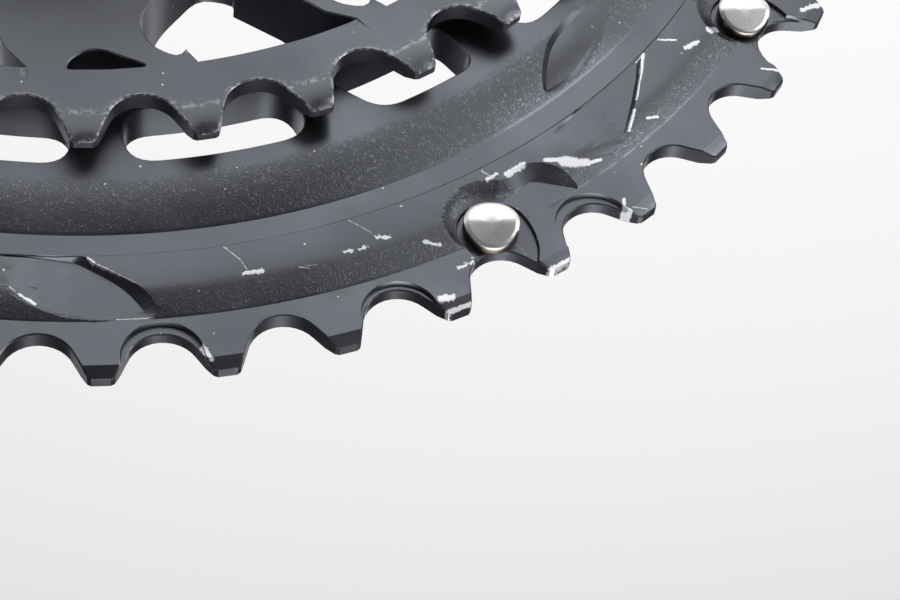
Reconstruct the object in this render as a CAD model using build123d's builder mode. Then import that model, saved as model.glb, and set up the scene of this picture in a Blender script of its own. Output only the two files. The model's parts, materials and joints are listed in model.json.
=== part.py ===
from build123d import *
import os
from math import cos, degrees, pi, radians, sin

# A road bicycle crankset with its threaded bottom bracket, in millimetres.
#
# +Y points to the rider's left along the axle, +X forwards and +Z up. The origin is the middle of the
# bottom bracket, on the axle's axis. The drive side is at -Y: its arm points forwards and the other arm
# points backwards. Both chainrings are machined from one blank, which bolts to the back of the drive arm
# with eight small bolts. The crank turns about Y in two ball bearings, each in a cup that screws into
# the bicycle's frame. A threaded ring behind the left arm takes up the play in the bearings.

os.makedirs("parts", exist_ok=True)

# ---- driving dimensions: chainrings -------------------------------------------------------------------
CHAIN_PITCH = 12.7
ROLLER_SEAT = 3.91  # radius of the gullet that a chain roller sits in
SEAT_SPREAD = 64.5  # degrees that the gullet's arc runs up each side
BIG_TEETH = 48
SMALL_TEETH = 35
BIG_RISE = 1.5  # tooth tip above the pitch circle
SMALL_RISE = 1.95
TOOTH_THICK = 2.05
TOOTH_TIP = 2.6  # width of a tooth at its tip
TIP_CHAMFER = 1.5  # radial length of the chamfer on both faces of a tip
TIP_CHAMFER_DEPTH = 0.55
SMALL_PHASE = -0.92  # degrees from a big-ring tooth to the nearest small-ring tooth
QUARTERS = 4  # windows, slots and ramps repeat this many times round the ring

TOOTH_FACE_Y = -47.3  # inboard face of the big ring's teeth
SMALL_FACE = 6.65  # small ring's inboard face, measured inboard from the big ring's tooth face
WEB_FACE = 2.75  # web behind the small ring's teeth
WEB_RADIUS = 65.4  # body that carries the small ring's teeth
WEB_EDGE = 74.6  # where the web starts to slope down to the bands
COVE_FOOT = 81.2
INNER_BAND = 1.0  # heights of the two bands above the tooth face
OUTER_BAND = 1.25
BAND_STEP = 84.0
BEVEL_TOP = 87.9
BEVEL_FOOT = 91.5
BACK_RECESS = 0.35
BACK_RECESS_INNER = 77.0
BACK_RECESS_OUTER = 90.0
SLOT_OUTER = 72.8
WINDOW_OUTER = 63.0
WINDOW_CORNER = 1.9
POCKET_FLOOR = 0.5  # floor of the shift pockets above the tooth face
SCALLOP_FLOOR = 1.5

HUB_BORE = 25.2
HUB_FACE = 3.0  # inboard face that the ring bolts' heads sit on
HUB_RADIUS = 36.5
BOLT_CIRCLE = 62.0
BOLT_COUNT = 8
BOLT_SHANK = 2.5  # radius
BOLT_HEAD = 4.2
BOLT_HEAD_HEIGHT = 2.6
BOLT_SOCKET = 2.0
BOLT_SOCKET_DEPTH = 1.6
BOLT_REACH = 6.5  # thread in the arm

PIN_CIRCLE = 90.3  # radius at which the shift pins stand
PIN_ANGLES = (27.4, 56.8)  # in each quarter
PIN_HEAD = 3.05
PIN_SHANK = 1.8
PIN_HEIGHT = 1.6  # head above the tooth face
PIN_SEAT = 3.5
PIN_SEAT_DEPTH = 0.5
KEEPER_CIRCLE = 86.0  # the pin that keeps a dropped chain from wedging behind the arm
KEEPER_PIN = 2.2
KEEPER_SHANK = 1.5
KEEPER_HEIGHT = 3.6

# ---- driving dimensions: arms and axle ----------------------------------------------------------------
CRANK_LENGTH = 172.5
PEDAL_BORE = 6.45
PEDAL_BOSS = 14.8
PEDAL_FACE = 73.0  # pedal's seat from the bicycle's middle plane
PEDAL_THICK = 12.5
PEDAL_WASHER = 10.2
PEDAL_WASHER_BORE = 7.3
PEDAL_WASHER_THICK = 0.9
ARM_HUB = 23.0
ARM_EDGE = 3.0  # rounding of the arms' long edges
DRIVE_HUB_FACE = 66.0
DRIVE_FLANGE = 37.0
DRIVE_FLANGE_THICK = 7.5
DRIVE_SPIGOT = 2.0  # the boss that centres the ring
LEFT_HUB_FACE = 71.0

SPINDLE = 14.5
SPINDLE_BORE = 11.5
SPINDLE_THREAD = 9.0
SPINDLE_THREAD_START = 42.0
SPINDLE_KEY = 14.4  # corner radius of the eight-sided end
SPINDLE_KEY_START = 55.0
SPINDLE_END = 61.5
DRIVE_SPINDLE_END = 64.5
LEDGE = 62.3  # inside the left arm, outboard of the axle's end
LEDGE_THICK = 2.7
LEDGE_BORE = 10.5
CRANK_BOLT_HEAD = 13.0
CRANK_BOLT_HEAD_HEIGHT = 2.8
CRANK_BOLT_REACH = 46.0
CRANK_BOLT_SOCKET = 4.6
CRANK_BOLT_WASHER = 1.0
CAP_RADIUS = 14.6
CAP_BORE = 6.0
CAP_THICK = 1.9
END_CAP_LIP = 1.5
END_CAP_PLUG = 5.0
END_CAP_WALL = 1.0
FIT = 0.05  # radial clearance between pieces that turn or slide together
CLEAR = 0.3  # clearance between pieces that only pass each other

# ---- driving dimensions: bottom bracket ---------------------------------------------------------------
SHELL_HALF = 34.0  # half the width of the frame's bottom bracket shell
CUP_THREAD = 17.4
CUP_THREAD_LENGTH = 13.0
CUP_THREAD_BORE = 16.0
CUP_OUTER = 23.2
CUP_FACE = 45.0
CUP_NOTCHES = 12
CUP_NOTCH = 2.0
CUP_NOTCH_LENGTH = 7.0
CUP_CHAMFER = 0.8
CUP_LIP = 15.3
CUP_LIP_THICK = 1.7
BEARING_OUTER = 21.0
BEARING_WIDTH = 7.0
BEARING_PROUD = 0.35  # inner race beyond the cup's face
BALL = 1.75
BALL_CIRCLE = 17.9
BALL_COUNT = 16
BALL_GAP = 0.1
RACE_GAP = 1.0  # from the ball circle to each race's shoulder
CAGE_WALL = 1.3
CAGE_WIDTH = 4.6
SEAL_THICK = 0.5
SLEEVE = 15.9
SLEEVE_BORE = 15.1

SHIELD = 21.8
SHIELD_THICK = 0.7
DRIVE_SPACER = 17.5
PRELOAD_WASHER = 20.5
PRELOAD_WASHER_THICK = 0.8
PRELOAD_THREAD = 17.0
PRELOAD_RING = 21.5
PRELOAD_WIDTH = 5.4
PRELOAD_TRAVEL = 1.5
PRELOAD_SLIT = 1.5
PRELOAD_LUG = 6.5  # half the lug's width
PRELOAD_LUG_REACH = 24.0
PINCH_SCREW = 1.2
PINCH_HEAD = 2.0
PINCH_HEAD_HEIGHT = 2.0
PINCH_OFFSET = 20.6  # from the axle to the pinch screw

# ---- values worked out from them ----------------------------------------------------------------------
RING_BACK = -TOOTH_THICK
RING_BACK_Y = TOOTH_FACE_Y + RING_BACK
BIG_TIP = CHAIN_PITCH / (2 * sin(pi / BIG_TEETH)) + BIG_RISE
SMALL_TIP = CHAIN_PITCH / (2 * sin(pi / SMALL_TEETH)) + SMALL_RISE
SMALL_BACK = SMALL_FACE - TOOTH_THICK
BEARING_END = CUP_FACE - BEARING_WIDTH
BALL_Y = CUP_FACE - BEARING_WIDTH / 2
RACE_FACE = CUP_FACE + BEARING_PROUD
SHIELD_FACE = RACE_FACE + SHIELD_THICK
SPIGOT_FACE = -RING_BACK_Y - DRIVE_SPIGOT
WASHER_FACE = SHIELD_FACE + FIT + PRELOAD_WASHER_THICK
PRELOAD_START = WASHER_FACE + FIT
PRELOAD_END = PRELOAD_START + PRELOAD_WIDTH
LEFT_ARM_FACE = PRELOAD_END + PRELOAD_TRAVEL + CLEAR
PRELOAD_BOSS_END = WASHER_FACE + PRELOAD_TRAVEL + CLEAR / 2
BOLT_FACE = LEDGE + LEDGE_THICK + CRANK_BOLT_WASHER
PEDAL_INNER = PEDAL_FACE - PEDAL_THICK
PEDAL_START = CRANK_LENGTH - PEDAL_BOSS
# In the ring's own plane Z points inboard and X points up, so an angle of 0 is up and 90 is forwards.
RING_PLANE = Plane(origin=(0, TOOTH_FACE_Y, 0), x_dir=(0, 0, 1), z_dir=(0, 1, 0))


def at(radius, angle):
    """A point in the ring's plane, from its radius and its angle in degrees."""
    return (radius * cos(radians(angle)), radius * sin(radians(angle)))


def axle_plane(y):
    """A plane across the axle at y, whose Z points to the rider's left and whose X points up."""
    return Plane(origin=(0, y, 0), x_dir=(0, 0, 1), z_dir=(0, 1, 0))


def tube(inner, outer, start, end):
    """The section of a tube about the axle, between two radii and two values of y."""
    return Polygon((inner, start), (outer, start), (outer, end), (inner, end), align=None)


def export(part, name):
    part.label = name
    export_step(part, f"parts/{name}.step")


def export_pair(part, name):
    """Writes a left-hand piece, and its mirror image on the drive side."""
    export(part, f"non_drive_{name}")
    export(mirror(part, about=Plane.XZ), f"drive_{name}")


# ---- cutters for the chainrings -----------------------------------------------------------------------
def tooth_outline(teeth, tip, phase):
    """Draws a toothed edge in the open BuildLine: an arc where each roller sits, then a flat-topped tooth."""
    pitch = CHAIN_PITCH / (2 * sin(pi / teeth))
    half_step = 180 / teeth
    tip_half = degrees(TOOTH_TIP / 2 / tip)
    side = degrees(ROLLER_SEAT * sin(radians(SEAT_SPREAD)) / pitch)
    low = pitch - ROLLER_SEAT * cos(radians(SEAT_SPREAD))
    for tooth in range(teeth):
        gullet = phase + (2 * tooth + 1) * half_step
        before = at(low, gullet - side)
        after = at(low, gullet + side)
        Line(at(tip, gullet - half_step + tip_half), before)
        ThreePointArc(before, at(pitch - ROLLER_SEAT, gullet), after)
        Line(after, at(tip, gullet + half_step - tip_half))
        Line(at(tip, gullet + half_step - tip_half), at(tip, gullet + half_step + tip_half))


def gullets(teeth, tip, phase, low, high):
    """Everything outside a toothed edge, between two heights above the tooth face."""
    with BuildPart() as cutter:
        with BuildSketch(RING_PLANE.offset(low)):
            Circle(BIG_TIP + CHAIN_PITCH)
            with BuildSketch(mode=Mode.PRIVATE) as edge:
                with BuildLine():
                    tooth_outline(teeth, tip, phase)
                make_face()
            add(edge.sketch, mode=Mode.SUBTRACT)
        extrude(amount=high - low)
    return cutter.part


def slot(start, end, corner, lean=0.0):
    """A slot through the web behind the small ring's teeth; lean tips its first end over."""
    inner = WEB_RADIUS + FIT
    outer = SLOT_OUTER
    with BuildPart() as cutter:
        with BuildSketch(RING_PLANE.offset(-CHAIN_PITCH)):
            middle = (start + end) / 2
            with BuildLine():
                ThreePointArc(at(outer, start + lean), at(outer, middle), at(outer, end))
                Line(at(outer, end), at(inner, end))
                ThreePointArc(at(inner, end), at(inner, middle), at(inner, start))
                Line(at(inner, start), at(outer, start + lean))
            outline = make_face()
            fillet(outline.vertices(), corner)
        extrude(amount=CHAIN_PITCH + (WEB_FACE + SMALL_BACK) / 2)
    return cutter.part


def window(start, end):
    """A leaf-shaped window: a long outer edge, a round heel at its start and a point at its end."""
    width = end - start
    points = (
        (56.5, end - 4.6),
        (49.0, end - 0.42 * width),
        (46.5, start + 0.32 * width),
        (51.0, start - 1.0),
        (56.0, start - 4.7),
        (59.7, start - 3.9),
    )
    outer = WINDOW_OUTER
    with BuildPart() as cutter:
        with BuildSketch(RING_PLANE.offset(-CHAIN_PITCH)):
            with BuildLine():
                ThreePointArc(at(outer, start), at(outer, (start + end) / 2), at(outer, end))
                Polyline(at(outer, end), *[at(r, a) for r, a in points], at(outer, start))
            outline = make_face()
            fillet(outline.vertices().sort_by_distance((*at(outer, end), 0))[1:], WINDOW_CORNER)
        extrude(amount=2 * CHAIN_PITCH)
    return cutter.part


def pocket(floor, *outline):
    """A flat-floored cut open towards the inboard side, from (radius, angle) corners."""
    with BuildPart() as cutter:
        with BuildSketch(RING_PLANE.offset(floor)):
            Polygon(*[at(r, a) for r, a in outline], align=None)
        extrude(amount=CHAIN_PITCH)
    return cutter.part


def quarter_cuts():
    """The cuts that repeat in each quarter of the ring."""
    cuts = [window(10.0, 27.5), window(30.8, 55.4), window(59.0, 83.6)]
    cuts += [slot(2.6, 18.9, 3.0), slot(21.6, 36.0, 2.6, lean=4.0), slot(42, 62, 3.0), slot(66, 88, 3.0)]
    # a pocket before the first shift pin, a ramp and a flat after it, and a scallop on the slope above
    clear = BAND_STEP + CLEAR
    cuts.append(pocket(POCKET_FLOOR, (clear, -1), (87, 1.5), (89.5, 3), (92, 3.9), (92, 0), (88, -6)))
    cuts.append(pocket(POCKET_FLOOR, (87, 35), (90.4, 37.5), (90.4, 40.5), (clear, 47.5), (85.5, 42)))
    cuts.append(pocket(0, (86.8, 31), (92, 31), (92, 35), (89, 33.6), (87, 33)))
    cuts.append(pocket(SCALLOP_FLOOR, (81.3, 37.5), (81.3, 48), (76.5, 47), (79.5, 41)))
    return cuts


# ---- the two chainrings, machined from one blank -------------------------------------------------------
def lift(points):
    """Ring section points of (radius, height above the tooth face) as points of (radius, y)."""
    return [(r, height + TOOTH_FACE_Y) for r, height in points]


def pin_places():
    step = 360 / QUARTERS
    return [at(PIN_CIRCLE, n * step + angle) for n in range(QUARTERS) for angle in PIN_ANGLES]


INBOARD = (
    (HUB_BORE, RING_BACK),
    (HUB_BORE, HUB_FACE),
    (HUB_RADIUS, HUB_FACE),
    (HUB_RADIUS + 2, SMALL_FACE),
    (SMALL_TIP - TIP_CHAMFER, SMALL_FACE),
    (SMALL_TIP, SMALL_FACE - TIP_CHAMFER_DEPTH),
    (SMALL_TIP, SMALL_BACK + TIP_CHAMFER_DEPTH),
    (SMALL_TIP - TIP_CHAMFER, SMALL_BACK),
    (WEB_RADIUS, SMALL_BACK),
    (WEB_RADIUS, WEB_FACE),
    (WEB_EDGE, WEB_FACE),
)
BANDS = (
    (COVE_FOOT, INNER_BAND),
    (BAND_STEP, INNER_BAND),
    (BAND_STEP, OUTER_BAND),
    (BEVEL_TOP, OUTER_BAND),
)
OUTBOARD = (
    (BEVEL_FOOT, 0),
    (BIG_TIP - TIP_CHAMFER, 0),
    (BIG_TIP, -TIP_CHAMFER_DEPTH),
    (BIG_TIP, RING_BACK + TIP_CHAMFER_DEPTH),
    (BIG_TIP - TIP_CHAMFER, RING_BACK),
    (BACK_RECESS_OUTER, RING_BACK),
    (BACK_RECESS_OUTER, RING_BACK + BACK_RECESS),
    (BACK_RECESS_INNER, RING_BACK + BACK_RECESS),
    (BACK_RECESS_INNER, RING_BACK),
    (HUB_BORE, RING_BACK),
)

with BuildPart() as double_chainring:
    with BuildSketch(Plane.XY):
        with BuildLine():
            Polyline(*lift(INBOARD))
            Spline(*lift((INBOARD[-1], BANDS[0])), tangents=((1, -0.05), (1, -0.55)))
            Polyline(*lift(BANDS))
            Spline(*lift((BANDS[-1], OUTBOARD[0])), tangents=((1, -0.12), (1, -0.75)))
            Polyline(*lift(OUTBOARD))
        make_face()
    revolve(axis=Axis.Y)
    add(gullets(SMALL_TEETH, SMALL_TIP, SMALL_PHASE, SMALL_BACK - 1, SMALL_FACE + 1), mode=Mode.SUBTRACT)
    add(gullets(BIG_TEETH, BIG_TIP, 0, RING_BACK - 1, SMALL_FACE + 1), mode=Mode.SUBTRACT)
    for quarter in range(QUARTERS):
        turned = [cut.rotate(Axis.Y, quarter * 360 / QUARTERS) for cut in quarter_cuts()]
        add(turned, mode=Mode.SUBTRACT)
    with BuildSketch(RING_PLANE.offset(-PIN_SEAT_DEPTH)):
        with Locations(*pin_places()):
            Circle(PIN_SEAT)
    extrude(amount=CHAIN_PITCH, mode=Mode.SUBTRACT)
    with BuildSketch(RING_PLANE.offset(RING_BACK)):
        with Locations(*pin_places()):
            Circle(PIN_SHANK)
        with Locations(at(KEEPER_CIRCLE, 90)):
            Circle(KEEPER_SHANK)
        with PolarLocations(BOLT_CIRCLE / 2, BOLT_COUNT):
            Circle(BOLT_SHANK)
    extrude(amount=CHAIN_PITCH, mode=Mode.SUBTRACT)
export(double_chainring.part, "double_chainring")

with BuildPart() as shift_pins:
    with BuildSketch(RING_PLANE.offset(RING_BACK)):
        with Locations(*pin_places()):
            Circle(PIN_SHANK)
    extrude(amount=TOOTH_THICK - PIN_SEAT_DEPTH)
    with BuildSketch(RING_PLANE.offset(-PIN_SEAT_DEPTH)):
        with Locations(*pin_places()):
            Circle(PIN_HEAD)
    extrude(amount=PIN_SEAT_DEPTH + PIN_HEIGHT)
    chamfer(shift_pins.edges().group_by(Axis.Y)[-1], PIN_HEIGHT / 3)
export(shift_pins.part, "shift_pins")

with BuildPart() as chain_keeper_pin:
    with BuildSketch(RING_PLANE):
        with Locations(at(KEEPER_CIRCLE, 90)):
            Circle(KEEPER_SHANK)
    extrude(amount=RING_BACK + BACK_RECESS)
    with BuildSketch(RING_PLANE.offset(RING_BACK + BACK_RECESS)):
        with Locations(at(KEEPER_CIRCLE, 90)):
            Circle(KEEPER_PIN)
    extrude(amount=-KEEPER_HEIGHT)
    chamfer(chain_keeper_pin.edges().group_by(Axis.Y)[0], KEEPER_PIN / 4)
export(chain_keeper_pin.part, "chain_keeper_pin")

with BuildPart() as ring_bolts:
    with BuildSketch(RING_PLANE.offset(HUB_FACE)):
        with PolarLocations(BOLT_CIRCLE / 2, BOLT_COUNT):
            Circle(BOLT_HEAD)
    extrude(amount=BOLT_HEAD_HEIGHT)
    chamfer(ring_bolts.edges().group_by(Axis.Y)[-1], BOLT_HEAD_HEIGHT / 4)
    with BuildSketch(RING_PLANE.offset(HUB_FACE + BOLT_HEAD_HEIGHT)):
        with PolarLocations(BOLT_CIRCLE / 2, BOLT_COUNT):
            RegularPolygon(BOLT_SOCKET, 6)
    extrude(amount=-BOLT_SOCKET_DEPTH, mode=Mode.SUBTRACT)
    with BuildSketch(RING_PLANE.offset(RING_BACK - BOLT_REACH)):
        with PolarLocations(BOLT_CIRCLE / 2, BOLT_COUNT):
            Circle(BOLT_SHANK)
    extrude(amount=HUB_FACE - RING_BACK + BOLT_REACH)
export(ring_bolts.part, "ring_bolts")


# ---- crank arms ---------------------------------------------------------------------------------------
def arm_blank(inner, outer):
    """A forged arm on the drive side; each face runs from its hub to its pedal end, as (x, outboard)."""
    near = -2 * ARM_HUB
    far = CRANK_LENGTH + 2 * PEDAL_BOSS
    (inner_start, hub_inner), (last, pedal_inner) = inner
    (outer_start, hub_outer), (last, pedal_outer) = outer
    with BuildPart() as blank:
        with BuildSketch(Plane.XZ):
            Circle(ARM_HUB)
            with Locations((CRANK_LENGTH, 0)):
                Circle(PEDAL_BOSS)
            make_hull()
        extrude(amount=CRANK_LENGTH)
        with BuildSketch(Plane.XY):
            with BuildLine():
                Polyline(
                    (inner_start, -hub_inner),
                    (near, -hub_inner),
                    (near, -hub_outer),
                    (outer_start, -hub_outer),
                )
                Spline(*[(x, -y) for x, y in inner], tangents=((1, 0), (1, 0)))
                Spline(*[(x, -y) for x, y in outer], tangents=((1, 0), (1, 0)))
                Polyline((last, -pedal_inner), (far, -pedal_inner), (far, -pedal_outer), (last, -pedal_outer))
            make_face()
        extrude(amount=CRANK_LENGTH, both=True, mode=Mode.INTERSECT)
        long_edges = blank.edges().filter_by(Axis.Y, reverse=True).filter_by(Axis.Z, reverse=True)
        fillet(long_edges, ARM_EDGE)
    return blank.part


def pedal_hole():
    """The pedal's hole and its washer's seat, at the forward end of an arm on the drive side."""
    with BuildPart() as hole:
        with BuildSketch(Plane.XZ):
            with Locations((CRANK_LENGTH, 0)):
                Circle(PEDAL_BORE)
        extrude(amount=CRANK_LENGTH)
        with BuildSketch(Plane.XZ.offset(PEDAL_FACE - PEDAL_WASHER_THICK)):
            with Locations((CRANK_LENGTH, 0)):
                Circle(PEDAL_WASHER + FIT)
        extrude(amount=CRANK_LENGTH)
    return hole.part


with BuildPart() as drive_arm:
    add(arm_blank(
        ((DRIVE_FLANGE, -RING_BACK_Y + CLEAR), (PEDAL_START, PEDAL_INNER)),
        ((0, DRIVE_HUB_FACE), (PEDAL_START, PEDAL_FACE)),
    ))
    with BuildSketch(Plane.XY):
        Polygon(
            (SPINDLE, -SPIGOT_FACE),
            (HUB_BORE - FIT, -SPIGOT_FACE),
            (HUB_BORE - FIT, RING_BACK_Y),
            (DRIVE_FLANGE, RING_BACK_Y),
            (DRIVE_FLANGE, RING_BACK_Y - DRIVE_FLANGE_THICK + ARM_EDGE),
            (DRIVE_FLANGE - ARM_EDGE, RING_BACK_Y - DRIVE_FLANGE_THICK),
            (SPINDLE, RING_BACK_Y - DRIVE_FLANGE_THICK),
            align=None,
        )
    revolve(axis=Axis.Y)
    with BuildSketch(Plane.XZ.offset(SPIGOT_FACE)):
        Circle(SPINDLE)
    extrude(amount=CRANK_LENGTH, mode=Mode.SUBTRACT)
    with BuildSketch(RING_PLANE.offset(RING_BACK)):
        with PolarLocations(BOLT_CIRCLE / 2, BOLT_COUNT):
            Circle(BOLT_SHANK)
    extrude(amount=-BOLT_REACH, mode=Mode.SUBTRACT)
    add(pedal_hole(), mode=Mode.SUBTRACT)
export(drive_arm.part, "drive_arm")

with BuildPart() as non_drive_arm:
    add(arm_blank(
        ((ARM_HUB, LEFT_ARM_FACE), (PEDAL_START, PEDAL_INNER)),
        ((0, LEFT_HUB_FACE), (PEDAL_START, PEDAL_FACE)),
    ))
    with BuildSketch(Plane.XY):
        tube(SPINDLE + FIT, PRELOAD_THREAD, -LEFT_ARM_FACE - CLEAR, -PRELOAD_BOSS_END)
    revolve(axis=Axis.Y)
    with BuildSketch(Plane.XZ.offset(PRELOAD_BOSS_END)):
        Circle(SPINDLE + FIT)
    extrude(amount=SPINDLE_KEY_START - PRELOAD_BOSS_END, mode=Mode.SUBTRACT)
    with BuildSketch(Plane.XZ.offset(SPINDLE_KEY_START)):
        RegularPolygon(SPINDLE_KEY + FIT, 8)
    extrude(amount=LEDGE - SPINDLE_KEY_START, mode=Mode.SUBTRACT)
    with BuildSketch(Plane.XZ.offset(LEDGE)):
        Circle(LEDGE_BORE)
    extrude(amount=LEDGE_THICK, mode=Mode.SUBTRACT)
    with BuildSketch(Plane.XZ.offset(LEDGE + LEDGE_THICK)):
        Circle(CAP_RADIUS)
    extrude(amount=CRANK_LENGTH, mode=Mode.SUBTRACT)
    add(pedal_hole(), mode=Mode.SUBTRACT)
export(non_drive_arm.part.rotate(Axis.Z, 180), "non_drive_arm")

with BuildPart() as pedal_washer:
    with BuildSketch(Plane.XZ.offset(PEDAL_FACE - PEDAL_WASHER_THICK)):
        with Locations((CRANK_LENGTH, 0)):
            Circle(PEDAL_WASHER)
            Circle(PEDAL_WASHER_BORE, mode=Mode.SUBTRACT)
    extrude(amount=PEDAL_WASHER_THICK)
export(pedal_washer.part, "drive_pedal_washer")
export(pedal_washer.part.rotate(Axis.Z, 180), "non_drive_pedal_washer")

# ---- axle, its bolt and its caps ----------------------------------------------------------------------
with BuildPart() as spindle:
    with BuildSketch(Plane.XY):
        Polygon(
            (SPINDLE_BORE, -DRIVE_SPINDLE_END),
            (SPINDLE, -DRIVE_SPINDLE_END),
            (SPINDLE, SPINDLE_END),
            (SPINDLE_THREAD, SPINDLE_END),
            (SPINDLE_THREAD, SPINDLE_THREAD_START),
            (SPINDLE_BORE, SPINDLE_THREAD_START - (SPINDLE_BORE - SPINDLE_THREAD)),
            align=None,
        )
    revolve(axis=Axis.Y)
    with BuildSketch(axle_plane(SPINDLE_KEY_START)):
        Circle(SPINDLE + CLEAR)
        RegularPolygon(SPINDLE_KEY, 8, mode=Mode.SUBTRACT)
    extrude(amount=SPINDLE_END, mode=Mode.SUBTRACT)
export(spindle.part, "spindle")

with BuildPart() as crank_bolt:
    with BuildSketch(Plane.XY):
        Polygon(
            (0, CRANK_BOLT_REACH),
            (SPINDLE_THREAD - CUP_CHAMFER, CRANK_BOLT_REACH),
            (SPINDLE_THREAD, CRANK_BOLT_REACH + CUP_CHAMFER),
            (SPINDLE_THREAD, BOLT_FACE),
            (CRANK_BOLT_HEAD, BOLT_FACE),
            (CRANK_BOLT_HEAD, BOLT_FACE + CRANK_BOLT_HEAD_HEIGHT),
            (0, BOLT_FACE + CRANK_BOLT_HEAD_HEIGHT),
            align=None,
        )
    revolve(axis=Axis.Y)
    with BuildSketch(axle_plane(BOLT_FACE + CRANK_BOLT_HEAD_HEIGHT)):
        RegularPolygon(CRANK_BOLT_SOCKET, 6)
    extrude(amount=-2 * CRANK_BOLT_SOCKET, mode=Mode.SUBTRACT)
export(crank_bolt.part, "crank_bolt")

with BuildPart() as crank_bolt_washer:
    with BuildSketch(Plane.XY):
        tube(SPINDLE_THREAD + FIT, CRANK_BOLT_HEAD, LEDGE + LEDGE_THICK, BOLT_FACE)
    revolve(axis=Axis.Y)
export(crank_bolt_washer.part, "crank_bolt_washer")

with BuildPart() as extractor_cap:
    with BuildSketch(axle_plane(LEFT_HUB_FACE)):
        Circle(CAP_RADIUS)
        RegularPolygon(CAP_BORE, 6, mode=Mode.SUBTRACT)
    extrude(amount=-CAP_THICK)
export(extractor_cap.part, "extractor_cap")

with BuildPart() as axle_end_cap:
    with BuildSketch(Plane.XY):
        Polygon(
            (0, -DRIVE_HUB_FACE),
            (SPINDLE, -DRIVE_HUB_FACE),
            (SPINDLE, -DRIVE_HUB_FACE + END_CAP_LIP),
            (SPINDLE_BORE, -DRIVE_HUB_FACE + END_CAP_LIP),
            (SPINDLE_BORE, -DRIVE_HUB_FACE + END_CAP_PLUG),
            (SPINDLE_BORE - END_CAP_WALL, -DRIVE_HUB_FACE + END_CAP_PLUG),
            (SPINDLE_BORE - END_CAP_WALL, -DRIVE_HUB_FACE + END_CAP_LIP),
            (0, -DRIVE_HUB_FACE + END_CAP_LIP),
            align=None,
        )
    revolve(axis=Axis.Y)
export(axle_end_cap.part, "axle_end_cap")

# ---- bottom bracket -----------------------------------------------------------------------------------
with BuildPart() as cup:
    with BuildSketch(Plane.XY):
        Polygon(
            (CUP_THREAD_BORE, SHELL_HALF - CUP_THREAD_LENGTH),
            (CUP_THREAD, SHELL_HALF - CUP_THREAD_LENGTH),
            (CUP_THREAD, SHELL_HALF),
            (CUP_OUTER - CUP_CHAMFER, SHELL_HALF),
            (CUP_OUTER, SHELL_HALF + CUP_CHAMFER),
            (CUP_OUTER, CUP_FACE - CUP_CHAMFER),
            (CUP_OUTER - CUP_CHAMFER, CUP_FACE),
            (BEARING_OUTER, CUP_FACE),
            (BEARING_OUTER, BEARING_END),
            (CUP_LIP, BEARING_END),
            (CUP_LIP, BEARING_END - CUP_LIP_THICK),
            (CUP_THREAD_BORE, BEARING_END - CUP_LIP_THICK),
            align=None,
        )
    revolve(axis=Axis.Y)
    with BuildSketch(axle_plane(SHELL_HALF + CUP_CHAMFER)):
        with PolarLocations(CUP_OUTER + CUP_NOTCH / 2, CUP_NOTCHES):
            Circle(CUP_NOTCH)
    extrude(amount=CUP_NOTCH_LENGTH, mode=Mode.SUBTRACT)
export_pair(cup.part, "cup")

with BuildPart() as centre_sleeve:
    with BuildSketch(Plane.XY):
        tube(SLEEVE_BORE, SLEEVE, CUP_LIP_THICK - BEARING_END, BEARING_END - CUP_LIP_THICK)
    revolve(axis=Axis.Y)
export(centre_sleeve.part, "centre_sleeve")

BALL_PLANE = axle_plane(BALL_Y)

with BuildPart() as outer_race:
    with BuildSketch(Plane.XY):
        tube(BALL_CIRCLE + RACE_GAP, BEARING_OUTER, BEARING_END, CUP_FACE)
    revolve(axis=Axis.Y)
    with Locations(BALL_PLANE):
        Torus(BALL_CIRCLE, BALL + BALL_GAP, mode=Mode.SUBTRACT)
export_pair(outer_race.part, "outer_race")

with BuildPart() as inner_race:
    with BuildSketch(Plane.XY):
        tube(SPINDLE + FIT, BALL_CIRCLE - RACE_GAP, BEARING_END + CLEAR, RACE_FACE)
    revolve(axis=Axis.Y)
    with Locations(BALL_PLANE):
        Torus(BALL_CIRCLE, BALL + BALL_GAP, mode=Mode.SUBTRACT)
export_pair(inner_race.part, "inner_race")

with BuildPart() as bearing_balls:
    with Locations(BALL_PLANE):
        with PolarLocations(BALL_CIRCLE, BALL_COUNT):
            Sphere(BALL)
export_pair(bearing_balls.part, "bearing_balls")

with BuildPart() as ball_cage:
    with BuildSketch(BALL_PLANE):
        Circle(BALL_CIRCLE + CAGE_WALL / 2)
        Circle(BALL_CIRCLE - CAGE_WALL / 2, mode=Mode.SUBTRACT)
    extrude(amount=CAGE_WIDTH / 2, both=True)
    with Locations(BALL_PLANE):
        with PolarLocations(BALL_CIRCLE, BALL_COUNT):
            Cylinder(BALL + FIT, 3 * CAGE_WALL, rotation=(0, 90, 0), mode=Mode.SUBTRACT)
export_pair(ball_cage.part, "ball_cage")

with BuildPart() as bearing_seals:
    with BuildSketch(Plane.XY):
        for start in (BEARING_END + CLEAR, CUP_FACE - CLEAR - SEAL_THICK):
            tube(BALL_CIRCLE - RACE_GAP + CLEAR, BALL_CIRCLE + RACE_GAP, start, start + SEAL_THICK)
    revolve(axis=Axis.Y)
export_pair(bearing_seals.part, "bearing_seals")

with BuildPart() as dust_shield:
    with BuildSketch(Plane.XY):
        tube(SPINDLE + FIT, SHIELD, RACE_FACE, SHIELD_FACE)
    revolve(axis=Axis.Y)
export_pair(dust_shield.part, "dust_shield")

with BuildPart() as drive_spacer:
    with BuildSketch(Plane.XY):
        tube(SPINDLE + FIT, DRIVE_SPACER, -SPIGOT_FACE, -SHIELD_FACE)
    revolve(axis=Axis.Y)
export(drive_spacer.part, "drive_spacer")

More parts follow.
